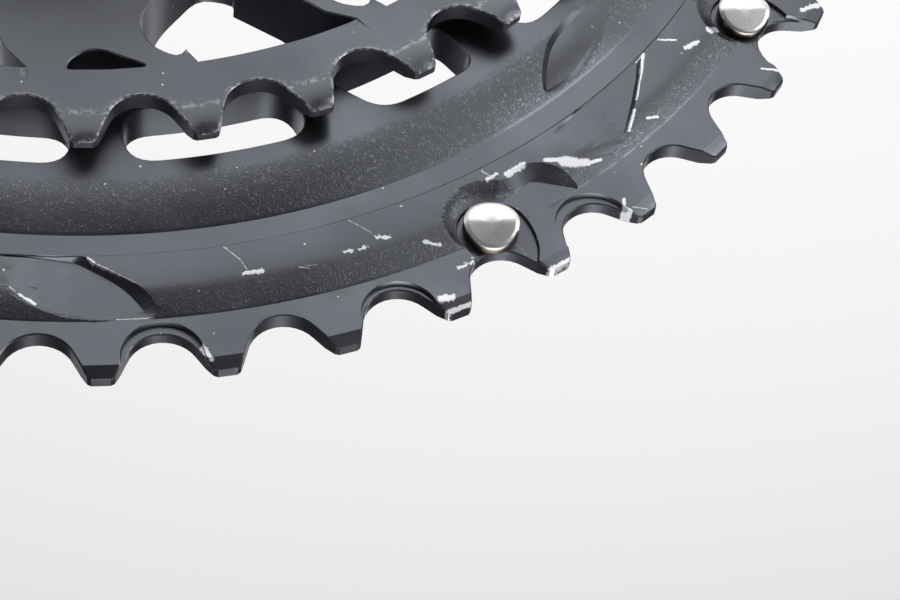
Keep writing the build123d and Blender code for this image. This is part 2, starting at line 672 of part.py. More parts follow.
# ---- bearing preload adjuster -------------------------------------------------------------------------
with BuildPart() as preload_washer:
    with BuildSketch(Plane.XY):
        tube(SPINDLE + FIT, PRELOAD_WASHER, SHIELD_FACE + FIT, WASHER_FACE)
    revolve(axis=Axis.Y)
export(preload_washer.part, "preload_washer")

# the pinch screw lies across the ring's slit, low on the ring, and its Z points forwards
SCREW_PLANE = Plane(
    origin=(0, PRELOAD_START + PRELOAD_WIDTH / 2, -PINCH_OFFSET), x_dir=(0, 1, 0), z_dir=(1, 0, 0)
)

with BuildPart() as preload_ring:
    with BuildSketch(axle_plane(PRELOAD_START)):
        Circle(PRELOAD_RING)
        with Locations((-PRELOAD_LUG_REACH / 2, 0)):
            Rectangle(PRELOAD_LUG_REACH, 2 * PRELOAD_LUG)
        Circle(PRELOAD_THREAD + FIT, mode=Mode.SUBTRACT)
        with Locations((-PRELOAD_LUG_REACH, 0)):
            Rectangle(PRELOAD_LUG_REACH, PRELOAD_SLIT, mode=Mode.SUBTRACT)
    extrude(amount=PRELOAD_WIDTH)
    with BuildSketch(SCREW_PLANE.offset(-PRELOAD_LUG)):
        Circle(PINCH_SCREW)
    extrude(amount=2 * PRELOAD_LUG, mode=Mode.SUBTRACT)
    with BuildSketch(SCREW_PLANE.offset(PRELOAD_LUG - PINCH_HEAD_HEIGHT)):
        Circle(PINCH_HEAD)
    extrude(amount=PINCH_HEAD_HEIGHT, mode=Mode.SUBTRACT)
export(preload_ring.part, "preload_ring")

with BuildPart() as pinch_screw:
    with BuildSketch(SCREW_PLANE.offset(-PRELOAD_LUG)):
        Circle(PINCH_SCREW)
    extrude(amount=2 * PRELOAD_LUG - PINCH_HEAD_HEIGHT)
    with BuildSketch(SCREW_PLANE.offset(PRELOAD_LUG - PINCH_HEAD_HEIGHT)):
        Circle(PINCH_HEAD)
    extrude(amount=PINCH_HEAD_HEIGHT)
    with BuildSketch(SCREW_PLANE.offset(PRELOAD_LUG)):
        RegularPolygon(PINCH_SCREW, 6)
    extrude(amount=-PINCH_HEAD_HEIGHT / 2, mode=Mode.SUBTRACT)
export(pinch_screw.part, "pinch_screw")
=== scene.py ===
# %% [markdown]
# # A worn road crankset
#
# This lesson dresses the bare engineering model of a bicycle crankset. The model is already in place, in
# metres: Y runs along the axle, X points forwards and Z up. Most of the work goes into the two chainrings,
# which are milled from one aluminium blank, blasted with fine beads, anodised black and then worn by a chain.

# %% Load the engineering model
import json
from math import cos, pi, radians, sin, sqrt

import bpy
import numpy as np
from mathutils import Matrix, Vector
from mathutils.geometry import delaunay_2d_cdt


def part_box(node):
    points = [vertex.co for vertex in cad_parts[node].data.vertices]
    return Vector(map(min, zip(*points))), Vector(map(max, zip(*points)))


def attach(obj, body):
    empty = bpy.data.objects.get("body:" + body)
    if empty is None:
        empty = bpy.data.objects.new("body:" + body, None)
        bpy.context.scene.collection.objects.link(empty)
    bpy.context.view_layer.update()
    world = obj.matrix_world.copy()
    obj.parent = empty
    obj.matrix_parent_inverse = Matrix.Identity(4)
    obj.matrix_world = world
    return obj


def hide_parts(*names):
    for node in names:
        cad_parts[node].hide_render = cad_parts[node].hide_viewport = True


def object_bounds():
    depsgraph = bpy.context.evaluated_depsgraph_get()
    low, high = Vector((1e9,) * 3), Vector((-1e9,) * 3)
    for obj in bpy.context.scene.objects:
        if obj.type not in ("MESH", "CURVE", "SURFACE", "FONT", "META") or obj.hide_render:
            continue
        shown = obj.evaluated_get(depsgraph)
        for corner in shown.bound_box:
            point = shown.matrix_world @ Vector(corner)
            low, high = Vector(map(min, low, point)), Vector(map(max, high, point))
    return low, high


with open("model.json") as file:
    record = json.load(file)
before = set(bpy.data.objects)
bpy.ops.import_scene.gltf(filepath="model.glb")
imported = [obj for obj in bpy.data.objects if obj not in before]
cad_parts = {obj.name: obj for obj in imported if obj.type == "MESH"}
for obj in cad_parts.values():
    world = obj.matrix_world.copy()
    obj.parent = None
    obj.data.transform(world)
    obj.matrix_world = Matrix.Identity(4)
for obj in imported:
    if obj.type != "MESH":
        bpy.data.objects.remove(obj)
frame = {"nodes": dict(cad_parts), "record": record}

cad_low, cad_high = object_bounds()
MM = 0.001
print("model runs from", [round(c, 4) for c in cad_low], "to", [round(c, 4) for c in cad_high])

# %% [markdown]
# ## The ring's own plane
#
# A chainring is easiest to describe by radius and angle, with heights above the inboard face of the big
# ring's teeth. Angle 0 points up and 90 forwards. Everything is worked out in millimetres in that plane and
# is turned into metres only when a mesh is made.

# %% Main sizes of the rings
CHAIN_PITCH = 12.7
ROLLER_SEAT = 3.91
SEAT_SPREAD = 64.5
BIG_TEETH, SMALL_TEETH = 48, 35
BIG_PITCH_RADIUS = CHAIN_PITCH / (2 * sin(pi / BIG_TEETH))
SMALL_PITCH_RADIUS = CHAIN_PITCH / (2 * sin(pi / SMALL_TEETH))
BIG_TIP = BIG_PITCH_RADIUS + 1.45
SMALL_TIP = SMALL_PITCH_RADIUS + 1.9
SMALL_PHASE = -0.92
TOOTH_THICK = 2.05
SMALL_FACE = 6.65
SMALL_BACK = SMALL_FACE - TOOTH_THICK
TOOTH_FACE_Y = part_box("double_chainring")[0].y / MM + TOOTH_THICK
print("tooth face at y =", round(TOOTH_FACE_Y, 2), "mm; tips at", round(BIG_TIP, 2), "and", round(SMALL_TIP, 2))


def at(radius, angle):
    """A point in the ring's plane: first up, then forwards."""
    turn = np.radians(angle)
    return np.stack([radius * np.cos(turn), radius * np.sin(turn)], -1)


def polar(points):
    """Radius and angle of points in the ring's plane."""
    return np.hypot(points[:, 0], points[:, 1]), np.degrees(np.arctan2(points[:, 1], points[:, 0]))


def arc(radius, start, end, step=0.7):
    """Points along an arc about the axle, both ends included."""
    count = max(2, int(abs(end - start) / step) + 1)
    return at(radius, np.linspace(start, end, count))


def places(*pairs):
    """Corner points from (angle, radius) pairs."""
    return np.array([at(radius, angle) for angle, radius in pairs])


def rounded(corners, radius, steps=5):
    """A closed outline whose corners are replaced by short arcs where there is room."""
    made = []
    for n, corner in enumerate(corners):
        before = corners[n - 1] - corner
        after = corners[(n + 1) % len(corners)] - corner
        reach = min(radius, 0.45 * np.hypot(*before), 0.45 * np.hypot(*after))
        start = corner + before / np.hypot(*before) * reach
        end = corner + after / np.hypot(*after) * reach
        for t in np.linspace(0, 1, steps):
            made.append((1 - t) ** 2 * start + 2 * t * (1 - t) * corner + t * t * end)
    return np.array(made)


# %% [markdown]
# ## Toothed edges
#
# Each roller of the chain sits in a round gullet, and the tooth between two gullets ends in a narrow flat.
# The outline is therefore an arc, a straight flank, a small rounded corner and a flat, over and over.

# %% One toothed edge
def tooth_edge(teeth, pitch_radius, tip, phase, first, last):
    """Points from the bottom of gullet `first` to the bottom of gullet `last`."""
    step = 360 / teeth
    tip_half = np.degrees(1.3 / tip)
    corner = np.degrees(0.3 / tip)
    made = []
    for n in range(first, last + 1):
        middle = phase + (n + 0.5) * step
        out, along = at(1, middle), np.array([-sin(radians(middle)), cos(radians(middle))])
        low = 0 if n == first else -SEAT_SPREAD
        high = 0 if n == last else SEAT_SPREAD
        if n > first:
            made.append(at(tip - 0.3, middle - step / 2 + tip_half + 0.4 * corner))
        for spread in np.radians(np.linspace(low, high, 13 if low and high else 7)):
            made.append(pitch_radius * out - ROLLER_SEAT * (cos(spread) * out - sin(spread) * along))
        if n < last:
            made.append(at(tip - 0.3, middle + step / 2 - tip_half - 0.4 * corner))
            made.append(at(tip, middle + step / 2 - tip_half + corner))
            made.append(at(tip, middle + step / 2 + tip_half - corner))
    return np.array(made)


# %% [markdown]
# ## A sheet cut to an outline
#
# The rings are milled plates: flat outlines with a height that changes over them. A constrained triangulation
# keeps every outline and every crease as real edges, whatever points fill the space between. Top and bottom
# use the same triangles, and a wall joins them round each outline, so the result is always closed.

# %% Distances to outlines
def segments(outline, closed=True):
    """Start and end points of an outline's edges."""
    ends = np.roll(outline, -1, axis=0)
    return (outline, ends) if closed else (outline[:-1], ends[:-1])


def distance(points, starts, ends):
    """Distance from each point to the nearest of many edges."""
    best = np.full(len(points), 1e9)
    run = ends - starts
    length = np.maximum((run ** 2).sum(1), 1e-12)
    for first in range(0, len(points), 2000):
        block = points[first:first + 2000, None, :] - starts[None]
        t = np.clip((block * run[None]).sum(2) / length[None], 0, 1)
        gap = block - t[..., None] * run[None]
        best[first:first + 2000] = np.sqrt((gap ** 2).sum(2)).min(1)
    return best


def inside(points, outline):
    """True for the points inside a closed outline."""
    x, y = points[:, 0][:, None], points[:, 1][:, None]
    starts, ends = segments(outline)
    x0, y0, x1, y1 = starts[:, 0], starts[:, 1], ends[:, 0], ends[:, 1]
    crosses = (y0 > y) != (y1 > y)
    with np.errstate(divide="ignore", invalid="ignore"):
        reach = (x1 - x0) * (y - y0) / (y1 - y0) + x0
    return (crosses & (x < reach)).sum(1) % 2 == 1


def signed(points, outline):
    """Distance to a closed outline, negative inside."""
    gap = distance(points, *segments(outline))
    return np.where(inside(points, outline), -gap, gap)


def inset(outline, gap):
    """A closed outline moved to its left by gap."""
    run = np.roll(outline, -1, axis=0) - np.roll(outline, 1, axis=0)
    run /= np.maximum(np.hypot(run[:, 0], run[:, 1])[:, None], 1e-9)
    return outline + gap * np.stack([-run[:, 1], run[:, 0]], -1)


# %% Triangles between outlines
def fill(outer, holes, creases, loose):
    """Triangles inside outer and outside the holes, with creases kept as edges. Creases are open polylines."""
    points, edges = [], []
    for line, closed in [(outer, True)] + [(h, True) for h in holes] + creases:
        base = len(points)
        points.extend(Vector(p) for p in line)
        edges.extend((base + n, base + n + 1) for n in range(len(line) - 1))
        if closed:
            edges.append((base + len(line) - 1, base))
    points.extend(Vector(p) for p in loose)
    coords, _, faces, _, _, _ = delaunay_2d_cdt(points, edges, [], 0, 1e-4, False)
    coords = np.array([tuple(c) for c in coords])
    faces = np.array(faces)
    middle = coords[faces].mean(1)
    keep = inside(middle, outer)
    for hole in holes:
        keep &= ~inside(middle, hole)
    faces = faces[keep]
    a, b, c = (coords[faces[:, n]] for n in range(3))
    area = (b[:, 0] - a[:, 0]) * (c[:, 1] - a[:, 1]) - (b[:, 1] - a[:, 1]) * (c[:, 0] - a[:, 0])
    faces[area < 0] = faces[area < 0][:, ::-1]
    return coords, faces[np.abs(area) > 1e-7]


def sheet_mesh(name, coords, faces, top, bottom, masks, open_edge=None):
    """A closed sheet from a filled outline, with its heights and its painted masks."""
    used = np.unique(faces)
    renumber = np.zeros(len(coords), int)
    renumber[used] = np.arange(len(used))
    coords, faces = coords[used], renumber[faces]
    top, bottom, masks = top[used], bottom[used], {k: v[used] for k, v in masks.items()}
    edges = np.concatenate([faces[:, [0, 1]], faces[:, [1, 2]], faces[:, [2, 0]]])
    key = np.sort(edges, 1)
    _, index, count = np.unique(key, axis=0, return_index=True, return_counts=True)
    rim = edges[index[count == 1]]
    if open_edge is not None:
        on_seam = open_edge(coords)
        rim = rim[~(on_seam[rim[:, 0]] & on_seam[rim[:, 1]])]
    total = len(coords)
    walls = np.stack([rim[:, 1], rim[:, 0], rim[:, 0] + total, rim[:, 1] + total], -1)
    flat = np.concatenate([coords, coords])
    high = np.concatenate([top, bottom]) + TOOTH_FACE_Y
    mesh = bpy.data.meshes.new(name)
    mesh.from_pydata(
        np.stack([flat[:, 1], high, flat[:, 0]], -1) * MM, [],
        faces.tolist() + (faces[:, ::-1] + total).tolist() + walls.tolist(),
    )
    for mask, values in masks.items():
        attribute = mesh.attributes.new(mask, "FLOAT", "POINT")
        attribute.data.foreach_set("value", np.concatenate([values, values]).astype(np.float32))
    mesh.update()
    print(name, len(mesh.vertices), "points,", len(mesh.polygons), "faces,", len(rim), "rim edges")
    return mesh


# %% [markdown]
# ## The big ring's section
#
# From the middle outwards the plate is a flat web, a hollow cove that ends in a crisp corner, two shallow
# bands with a thin step between them, a bevel with a filleted foot, and the thin teeth with chamfered tips.
# The heights follow the engineering model, with a slight sag and a fine groove added. The cove and the
# bevel were left rough by the blasting.

# %% Height of the plain section
WEB_FACE, WEB_EDGE, COVE_FOOT = 2.75, 74.6, 81.2
INNER_BAND, OUTER_BAND, BAND_STEP, BAND_SAG = 1.0, 1.25, 84.0, 0.2
BEVEL_TOP, BEVEL_FOOT = 87.7, 91.6
TIP_START = 97.0


def section(radius):
    """Height of the plain section above the tooth face."""
    t = np.clip((radius - WEB_EDGE) / (COVE_FOOT - WEB_EDGE), 0, 1)
    high = WEB_FACE - (WEB_FACE - INNER_BAND) * t ** 1.7
    sag = BAND_SAG * np.clip((radius - BAND_STEP) / (BEVEL_TOP - BAND_STEP), 0, 1) ** 2
    high = np.where(radius > BAND_STEP + 0.03, OUTER_BAND - sag, high)
    high = high - 0.1 * ((radius > BAND_STEP - 0.12) & (radius < BAND_STEP + 0.03))
    fall = np.clip((radius - BEVEL_TOP) / (BEVEL_FOOT - BEVEL_TOP), 0, 1)
    high = np.where(radius > BEVEL_TOP, (OUTER_BAND - BAND_SAG) * (1 - fall ** 1.45), high)
    return high - 0.5 * np.clip((radius - TIP_START) / (BIG_TIP - TIP_START), 0, 1)


def back(radius):
    """Height of the outboard face, with its shallow recess and the chamfer on the tips."""
    high = np.full(len(radius), -TOOTH_THICK)
    high += np.where((radius > 77) & (radius < 90), 0.3, 0)
    return high + 0.5 * np.clip((radius - TIP_START) / (BIG_TIP - TIP_START), 0, 1)


# %% [markdown]
# ## Slots, pins, pockets and ramps
#
# Slots lighten the web behind the small ring. Eight steel pins catch the chain when the rider shifts up, and
# beside each pin the mill has cut pockets, flats and tilted ramps that let the chain pass. They repeat every
# quarter turn. Each cut here has an upper outline, and a floor outline set in from it by its sloping wall.

# %% Outlines of the cuts
SEAM_LOW, SEAM_HIGH = -26.25, 63.75


def slot_outline(start, end, corner, lean=0.0):
    """A slot in the web, its ends rounded between two arcs; lean tips its first end over."""
    inner, outer = 65.45, 72.8
    step_in, step_out = np.degrees(corner / inner), np.degrees(corner / outer)
    in_first, in_last = at(inner, start), at(inner, end)
    out_first, out_last = at(outer, start + lean), at(outer, end)

    def toward(a, b):
        return a + (b - a) / np.hypot(*(b - a)) * min(corner, 0.49 * np.hypot(*(b - a)))

    def bend(before, tip, after):
        t = np.linspace(0, 1, 8)[1:-1, None]
        return (1 - t) ** 2 * before + 2 * t * (1 - t) * tip + t * t * after

    low = arc(inner, start + step_in, end - step_in, 1.0)
    high = arc(outer, end - step_out, start + lean + step_out, 1.0)
    return np.concatenate([
        low, bend(low[-1], in_last, toward(in_last, out_last)), [toward(in_last, out_last)],
        bend(toward(out_last, in_last), out_last, high[0]), high,
        bend(high[-1], out_first, toward(out_first, in_first)), [toward(out_first, in_first)],
        bend(toward(in_first, out_first), in_first, low[0]),
    ])


SLOTS = [
    slot_outline(2.6, 18.9, 3.5), slot_outline(22.0, 36.0, 2.6, 3.6),
    slot_outline(42, 61.4, 3.3), slot_outline(-23.4, -2.0, 3.3),
]
PINS = ((27.48, 91.0), (56.5, 90.6))
L1_TOP = rounded(places(
    (-8.5, 84.06), (-7, 87.9), (-5.2, 89.6), (-2.6, 91.1), (0, 91.6), (2.6, 91.7), (3.9, 91.6), (3.85, 90.5),
    (3.35, 88.9), (2.45, 87.5), (1.0, 86.1), (-0.3, 84.95), (-0.8, 84.07)), 0.9, 4)
L1_FLOOR = rounded(places(
    (-8.3, 84.25), (-6.9, 87.8), (-5.1, 89.4), (-2.6, 90.9), (0, 91.45), (2.3, 91.5), (3.2, 91.4), (2.75, 90.1),
    (2.2, 88.7), (1.45, 87.4), (0.3, 86.0), (-0.9, 85.0), (-1.7, 84.3)), 0.9, 4)
T_TOP = rounded(places(
    (34.6, 86.3), (35.5, 87.4), (36.4, 88.9), (37.7, 90.2), (38.7, 90.6), (40.4, 90.5), (41.2, 89.7),
    (43.8, 87.5), (46.1, 85.6), (47.9, 83.8), (41.0, 83.8), (36.5, 84.6)), 0.5, 4)
T_FLOOR = rounded(places(
    (35.0, 86.5), (35.8, 87.5), (36.7, 88.9), (37.9, 90.0), (38.7, 90.4), (39.9, 90.3), (40.7, 89.6),
    (43.3, 87.4), (45.6, 85.5), (47.2, 83.95), (41.0, 83.95), (36.7, 84.9)), 0.5, 4)
P1_TOP = rounded(places(
    (29.0, 91.55), (28.8, 88.0), (30.2, 86.7), (31.6, 86.0), (32.9, 86.1), (33.93, 86.93), (34.6, 88.2),
    (34.95, 89.5), (35.0, 90.4), (35.0, 91.55)), 0.8, 4)
P1_FLOOR = rounded(places(
    (29.2, 91.5), (29.3, 88.5), (30.4, 88.1), (31.5, 87.9), (32.47, 87.7), (33.1, 88.4), (33.6, 89.3),
    (34.2, 90.3), (34.7, 91.1), (34.85, 91.5)), 0.5, 4)
LEAF_TOP = rounded(places(
    (38.4, 80.3), (40.0, 77.8), (42.6, 75.6), (46, 74.9), (50.5, 75.5), (49.5, 77.6), (46.5, 79.5), (42, 80.7)), 1.6, 5)
LEAF_FLOOR = inset(LEAF_TOP, -0.6)
RELIEFS = ((3.75, 96.3, 4.25, 0.6), (18.85, 96.6, 4.1, 0.5), (33.75, 96.35, 4.3, 0.5), (56.25, 96.6, 4.15, 0.4))
print(len(SLOTS), "slots,", len(PINS), "pins and", len(RELIEFS), "relieved gullets in each quarter")


# %% [markdown]
# ## Heights after the milling
#
# Every cut is a rule: the surface becomes the lower of what was there and the cut's own floor. The pins stand
# in round pits whose sides flare up through the bevel, which is why the rough band seems to sweep round them.

# %% Height with every cut
PIT_RADIUS, PIT_DEPTH, PIT_WALL, FLARE = 3.6, 0.45, 0.14, 2.1
PIT_OUTWARD, PIT_INWARD, PIT_FORWARD, PIT_TIGHT = 0.55, 0.98, 0.84, 0.25


def pit_frame(angle):
    """Directions outwards and forwards along the ring at an angle."""
    out = at(1, angle)
    return out, np.array([-out[1], out[0]])


def pit_line(angle, radius, far):
    """The outline of a pin's pit, moved outwards by far."""
    out, along_ring = pit_frame(angle)
    turn = np.linspace(0, 2 * pi, 73)[:-1]
    along, across = np.cos(turn), np.sin(turn)
    scale = np.hypot(along * np.where(along > 0, PIT_OUTWARD, PIT_INWARD), across * np.where(across > 0, PIT_FORWARD, 1))
    tight = 1 + PIT_TIGHT * np.clip(-across, 0, 1)
    reach = ((PIT_RADIUS + far / tight) / scale)[:, None]
    return at(radius, angle) + reach * (along[:, None] * out + across[:, None] * along_ring)


def pin_pit(points, angle, radius):
    """Height of the flared pit round a pin. Past its outward side it runs out into the gullet."""
    out, along_ring = pit_frame(angle)
    gap = points - at(radius, angle)
    along, across = gap @ out, gap @ along_ring
    far = np.hypot(along * np.where(along > 0, PIT_OUTWARD, PIT_INWARD), across * np.where(across > 0, PIT_FORWARD, 1))
    far = (far - PIT_RADIUS) * (1 + PIT_TIGHT * np.clip(-across / np.maximum(np.hypot(along, across), 1e-6), 0, 1))
    flare = 1.3 * np.clip((far - PIT_WALL) / FLARE, 0, None) ** 1.6
    return np.where(far < 0.002, -PIT_DEPTH, np.where(far < PIT_WALL, -PIT_DEPTH * (1 - far / PIT_WALL), flare))


def cut(points, high, top, floor_line, floor):
    """Lowers the surface to a floor, with a sloping wall between the floor's outline and the upper one."""
    to_top, to_floor = -signed(points, top), signed(points, floor_line)
    share = np.clip(to_floor / np.maximum(to_floor + to_top, 1e-6), 0, 1)
    lowered = np.minimum(high, floor * (1 - share) + high * share)
    return np.where((to_top > -1e-4) & (to_floor > 0), lowered, np.where(to_floor <= 0, np.minimum(high, floor), high))


def milled(points):
    """Height of the big ring's inboard face with every cut in it."""
    radius, angle = polar(points)
    high = section(radius)
    for turn, where in PINS:
        high = np.minimum(high, pin_pit(points, turn, where))
    l1 = np.interp(angle, (-8.5, -6.2, -4.2, -2, 0.5, 4), (1.3, 1.05, 0.62, 0.34, 0.2, 0.1)) - 0.05 * (radius - 88)
    slope = np.interp(angle, (34, 36.5, 41, 48), (1.3, 1.2, 1.0, 0.96))
    slope -= 0.095 * (radius - BAND_STEP) * np.clip((angle - 36) / 5, 0, 1)
    leaf = section(radius) - 0.55 * np.clip(1 - (angle - 38.4 - 0.9 * (80.3 - radius)) / 8, 0, 1)
    high = cut(points, high, L1_TOP, L1_FLOOR, l1)
    high = cut(points, high, T_TOP, T_FLOOR, slope)
    high = cut(points, high, P1_TOP, P1_FLOOR, np.full(len(points), -0.05))
    high = cut(points, high, LEAF_TOP, LEAF_FLOOR, leaf)
    for turn, centre, reach, depth in RELIEFS:
        far = np.hypot(*(points - at(centre, turn)).T) - reach
        high = np.where(far < 0.0, np.minimum(high, -depth), np.where(far < 0.12, np.minimum(high, -depth * (1 - far / 0.12)), high))
    return high


# %% Points that carry the detail
def grid(centre_angle, centre_radius, reach, step):
    """A patch of evenly spaced loose points."""
    count = int(reach / step)
    rows = np.array([(x + 0.5 * (y % 2), y * 0.866) for x in range(-count, count + 1) for y in range(-count, count + 1)])
    rows = rows[np.hypot(rows[:, 0], rows[:, 1]) * step < reach] * step
    return rows + at(centre_radius, centre_angle)


SEAM_RADII = (65.0, 68, 71, 74.6, 76, 77.5, 79, 80.2, 81.2, 84.0, 84.06, 87.9, 89, 90.2, 90.6, 91.0, 91.3, 91.6)
teeth = tooth_edge(BIG_TEETH, BIG_PITCH_RADIUS, BIG_TIP, 0, -4, 8)
inner_edge = arc(65.0, SEAM_HIGH, SEAM_LOW, 1.0)
quarter_outline = np.concatenate([
    [at(r, SEAM_LOW) for r in SEAM_RADII[1:]], teeth,
    [at(r, SEAM_HIGH) for r in SEAM_RADII[:0:-1]], inner_edge[:],
])
CIRCLES = (74.6, 75.4, 76.2, 77, 77.8, 78.6, 79.4, 80.2, 80.8, 81.2, 83.84, 83.9, 84.0, 84.06, 86, 87.7, 88.1, 88.6, 89.0, 89.6, 90.2,
           90.4, 90.6, 90.8, 91.0, 91.3, 91.6, 92.4, TIP_START, 97.6, 98.1)
creases = [(arc(r, SEAM_LOW + 0.5, SEAM_HIGH - 0.5, 0.9), False) for r in CIRCLES]
creases += [(line, True) for line in (L1_TOP, L1_FLOOR, T_TOP, T_FLOOR, P1_TOP, P1_FLOOR, LEAF_TOP, LEAF_FLOOR)]
for turn, centre, reach, _ in RELIEFS:
    for gap in (0.0, 0.12):
        creases.append((at(centre, turn) + at(reach + gap, np.linspace(0, 360, 60)[:-1]), True))
for turn, where in PINS:
    creases += [(pit_line(turn, where, far), True) for far in (0.0, PIT_WALL, 0.35, 0.7, 1.1, 1.6, FLARE + PIT_WALL)]
worn_edges = [segments(teeth, False)] + [segments(s) for s in SLOTS]
worn_starts = np.concatenate([s for s, _ in worn_edges])
worn_ends = np.concatenate([e for _, e in worn_edges])
EDGE_BREAK = 0.16
creases.append((inset(teeth, EDGE_BREAK)[1:-1], False))
creases += [(inset(s, EDGE_BREAK), True) for s in SLOTS]
loose = [grid(angle, radius, 6.4, 0.27) for angle, radius in PINS]
loose += [grid(-2.5, 87.9, 7.5, 0.6), grid(40, 87, 8.5, 0.6), grid(43, 78.6, 8, 0.6)]
loose = np.concatenate(loose)
loose = loose[distance(loose, worn_starts, worn_ends) > 0.3]
coords, faces = fill(quarter_outline, SLOTS, creases, loose)
edge_gap = distance(coords, worn_starts, worn_ends)
radius, angle = polar(coords)
top = milled(coords) - 0.12 * np.clip(1 - edge_gap / EDGE_BREAK, 0, 1)
bottom = back(radius)
rough = np.clip(np.interp(radius, (74.6, 75.4, 80.8, 81.2), (0, 1, 1, 0)), 0, 1)
rough = np.maximum(rough, np.interp(radius, (87.9, 89.8, 91.5, 91.6), (0, 1, 1, 0)))
for turn, where in PINS:
    pit = pin_pit(coords, turn, where)
    rough = np.where(pit < section(radius) - 0.02, np.where(pit > 0, 1, 0.6), rough)
for outline in (L1_FLOOR, T_FLOOR, P1_FLOOR, LEAF_TOP):
    rough = np.where(signed(coords, outline) < 0.05, 0.15, rough)
quarter = sheet_mesh(
    "ring_quarter", coords, faces, top, bottom,
    {"edge": np.clip(1 - edge_gap / EDGE_BREAK, 0, 1), "rough": rough, "small": np.zeros(len(coords))},
    lambda p: (np.abs(polar(p)[1] - SEAM_LOW) < 1e-3) | (np.abs(polar(p)[1] - SEAM_HIGH) < 1e-3),
)

# %% [markdown]
# ## The small ring and the body
#
# The small ring stands well above the big one, on a thick body with leaf-shaped windows. It is one more sheet:
# its underside is high where the teeth overhang the slots, and drops to the back of the plate under the body.

# %% Outline and windows of the small ring
def window_outline(start, end):
    """A leaf-shaped window: long outer edge, round heel at its start, point at its end."""
    width = end - start
    heel = places(
        (start + 0.60 * width, 49.0), (start + 0.32 * width, 46.5), (start - 1.0, 51.0),
        (start - 3.2, 54.2), (start - 4.6, 56.0), (start - 4.6, 58.0), (start - 3.6, 60.2), (start - 1.2, 62.2),
    )
    smooth = rounded(heel, 1.8, 4)[::-1]
    outer = arc(63.0, start + 0.4, end, 1.0)
    side = places((end - 2.4, 60.5), (end - 3.6, 58.0), (end - 4.6, 55.6))
    return np.concatenate([outer, side, smooth[::-1]])


WINDOWS = [window_outline(s + q * 90, e + q * 90) for q in range(4) for s, e in ((10, 27.5), (30.8, 56.4), (60.8, 83.6))]
DROPS = [
    rounded(places((-2.6 + q * 90, 63.0), (-2.1 + q * 90, 61.6), (-0.6 + q * 90, 60.3), (1.0 + q * 90, 60.2),
                   (5.6 + q * 90, 62.9), (1.5 + q * 90, 63.0)), 0.9, 4)
    for q in range(4)
]
HUB_BORE = 25.2
small_outline = tooth_edge(SMALL_TEETH, SMALL_PITCH_RADIUS, SMALL_TIP, SMALL_PHASE, 0, SMALL_TEETH)[:-1]
bore = at(HUB_BORE, np.linspace(0, 360, 97)[:-1])
holes = [bore] + WINDOWS + DROPS
small_circles = (36.5, 38.5, 44.0, 58, 65.4, 65.42, 71.3)
creases = [(at(r, np.linspace(0, 360, 361)[:-1]), True) for r in small_circles]
creases.append((inset(small_outline, EDGE_BREAK), True))
facing = [1 if signed(inset(h, 0.1)[:1], h)[0] > 0 else -1 for h in holes]
creases += [(inset(h, EDGE_BREAK * side), True) for h, side in zip(holes, facing)]
coords, faces = fill(small_outline, holes, creases, np.zeros((0, 2)))
pairs = [segments(o) for o in [small_outline] + holes]
starts, ends = np.concatenate([s for s, _ in pairs]), np.concatenate([e for _, e in pairs])
edge_gap = distance(coords, starts, ends)
tooth_gap = distance(coords, *segments(small_outline))
radius, angle = polar(coords)
top = np.interp(radius, (36.5, 38.5), (3.0, SMALL_FACE)) - 0.55 * np.clip((radius - 71.3) / 1.4, 0, 1)
top -= 0.12 * np.clip(1 - edge_gap / EDGE_BREAK, 0, 1)
bottom = np.interp(radius, (65.4, 65.42), (-TOOTH_THICK, SMALL_BACK)) + 0.55 * np.clip((radius - 71.3) / 1.4, 0, 1)
small_ring = sheet_mesh(
    "small_ring", coords, faces, top, bottom,
    {"edge": np.clip(1 - edge_gap / EDGE_BREAK, 0, 1), "rough": np.clip((radius - 71.3) / 1.4, 0, 1) * 0.8,
     "small": np.clip(1 - tooth_gap / 0.6, 0, 1)},
)

# %% [markdown]
# ## Turned copies, with Geometry Nodes
#
# The quarter of the big ring and its pair of shift pins each repeat about the axle. One node
# tree serves both: it turns a copy for each step, makes them real and welds the seams between them.

# %% The node tree that repeats a piece about the axle
def new_socket(tree, name, kind, default=None, out=False):
    made = tree.interface.new_socket(name=name, in_out="OUTPUT" if out else "INPUT", socket_type=kind)
    if default is not None:
        made.default_value = default
    return made


turned = bpy.data.node_groups.new("Turned copies", "GeometryNodeTree")
new_socket(turned, "Geometry", "NodeSocketGeometry")
copies_id = new_socket(turned, "Copies", "NodeSocketInt", 4).identifier
new_socket(turned, "Weld Distance", "NodeSocketFloat", 0.00001)
finish_id = new_socket(turned, "Finish", "NodeSocketMaterial").identifier
new_socket(turned, "Geometry", "NodeSocketGeometry", out=True)


def add_node(tree, kind, **values):
    """A node with its settings and its plain input values."""
    made = tree.nodes.new(kind)
    for key, value in values.items():
        if key.startswith("in_"):
            made.inputs[key[3:].replace("_", " ")].default_value = value
        else:
            setattr(made, key, value)
    return made


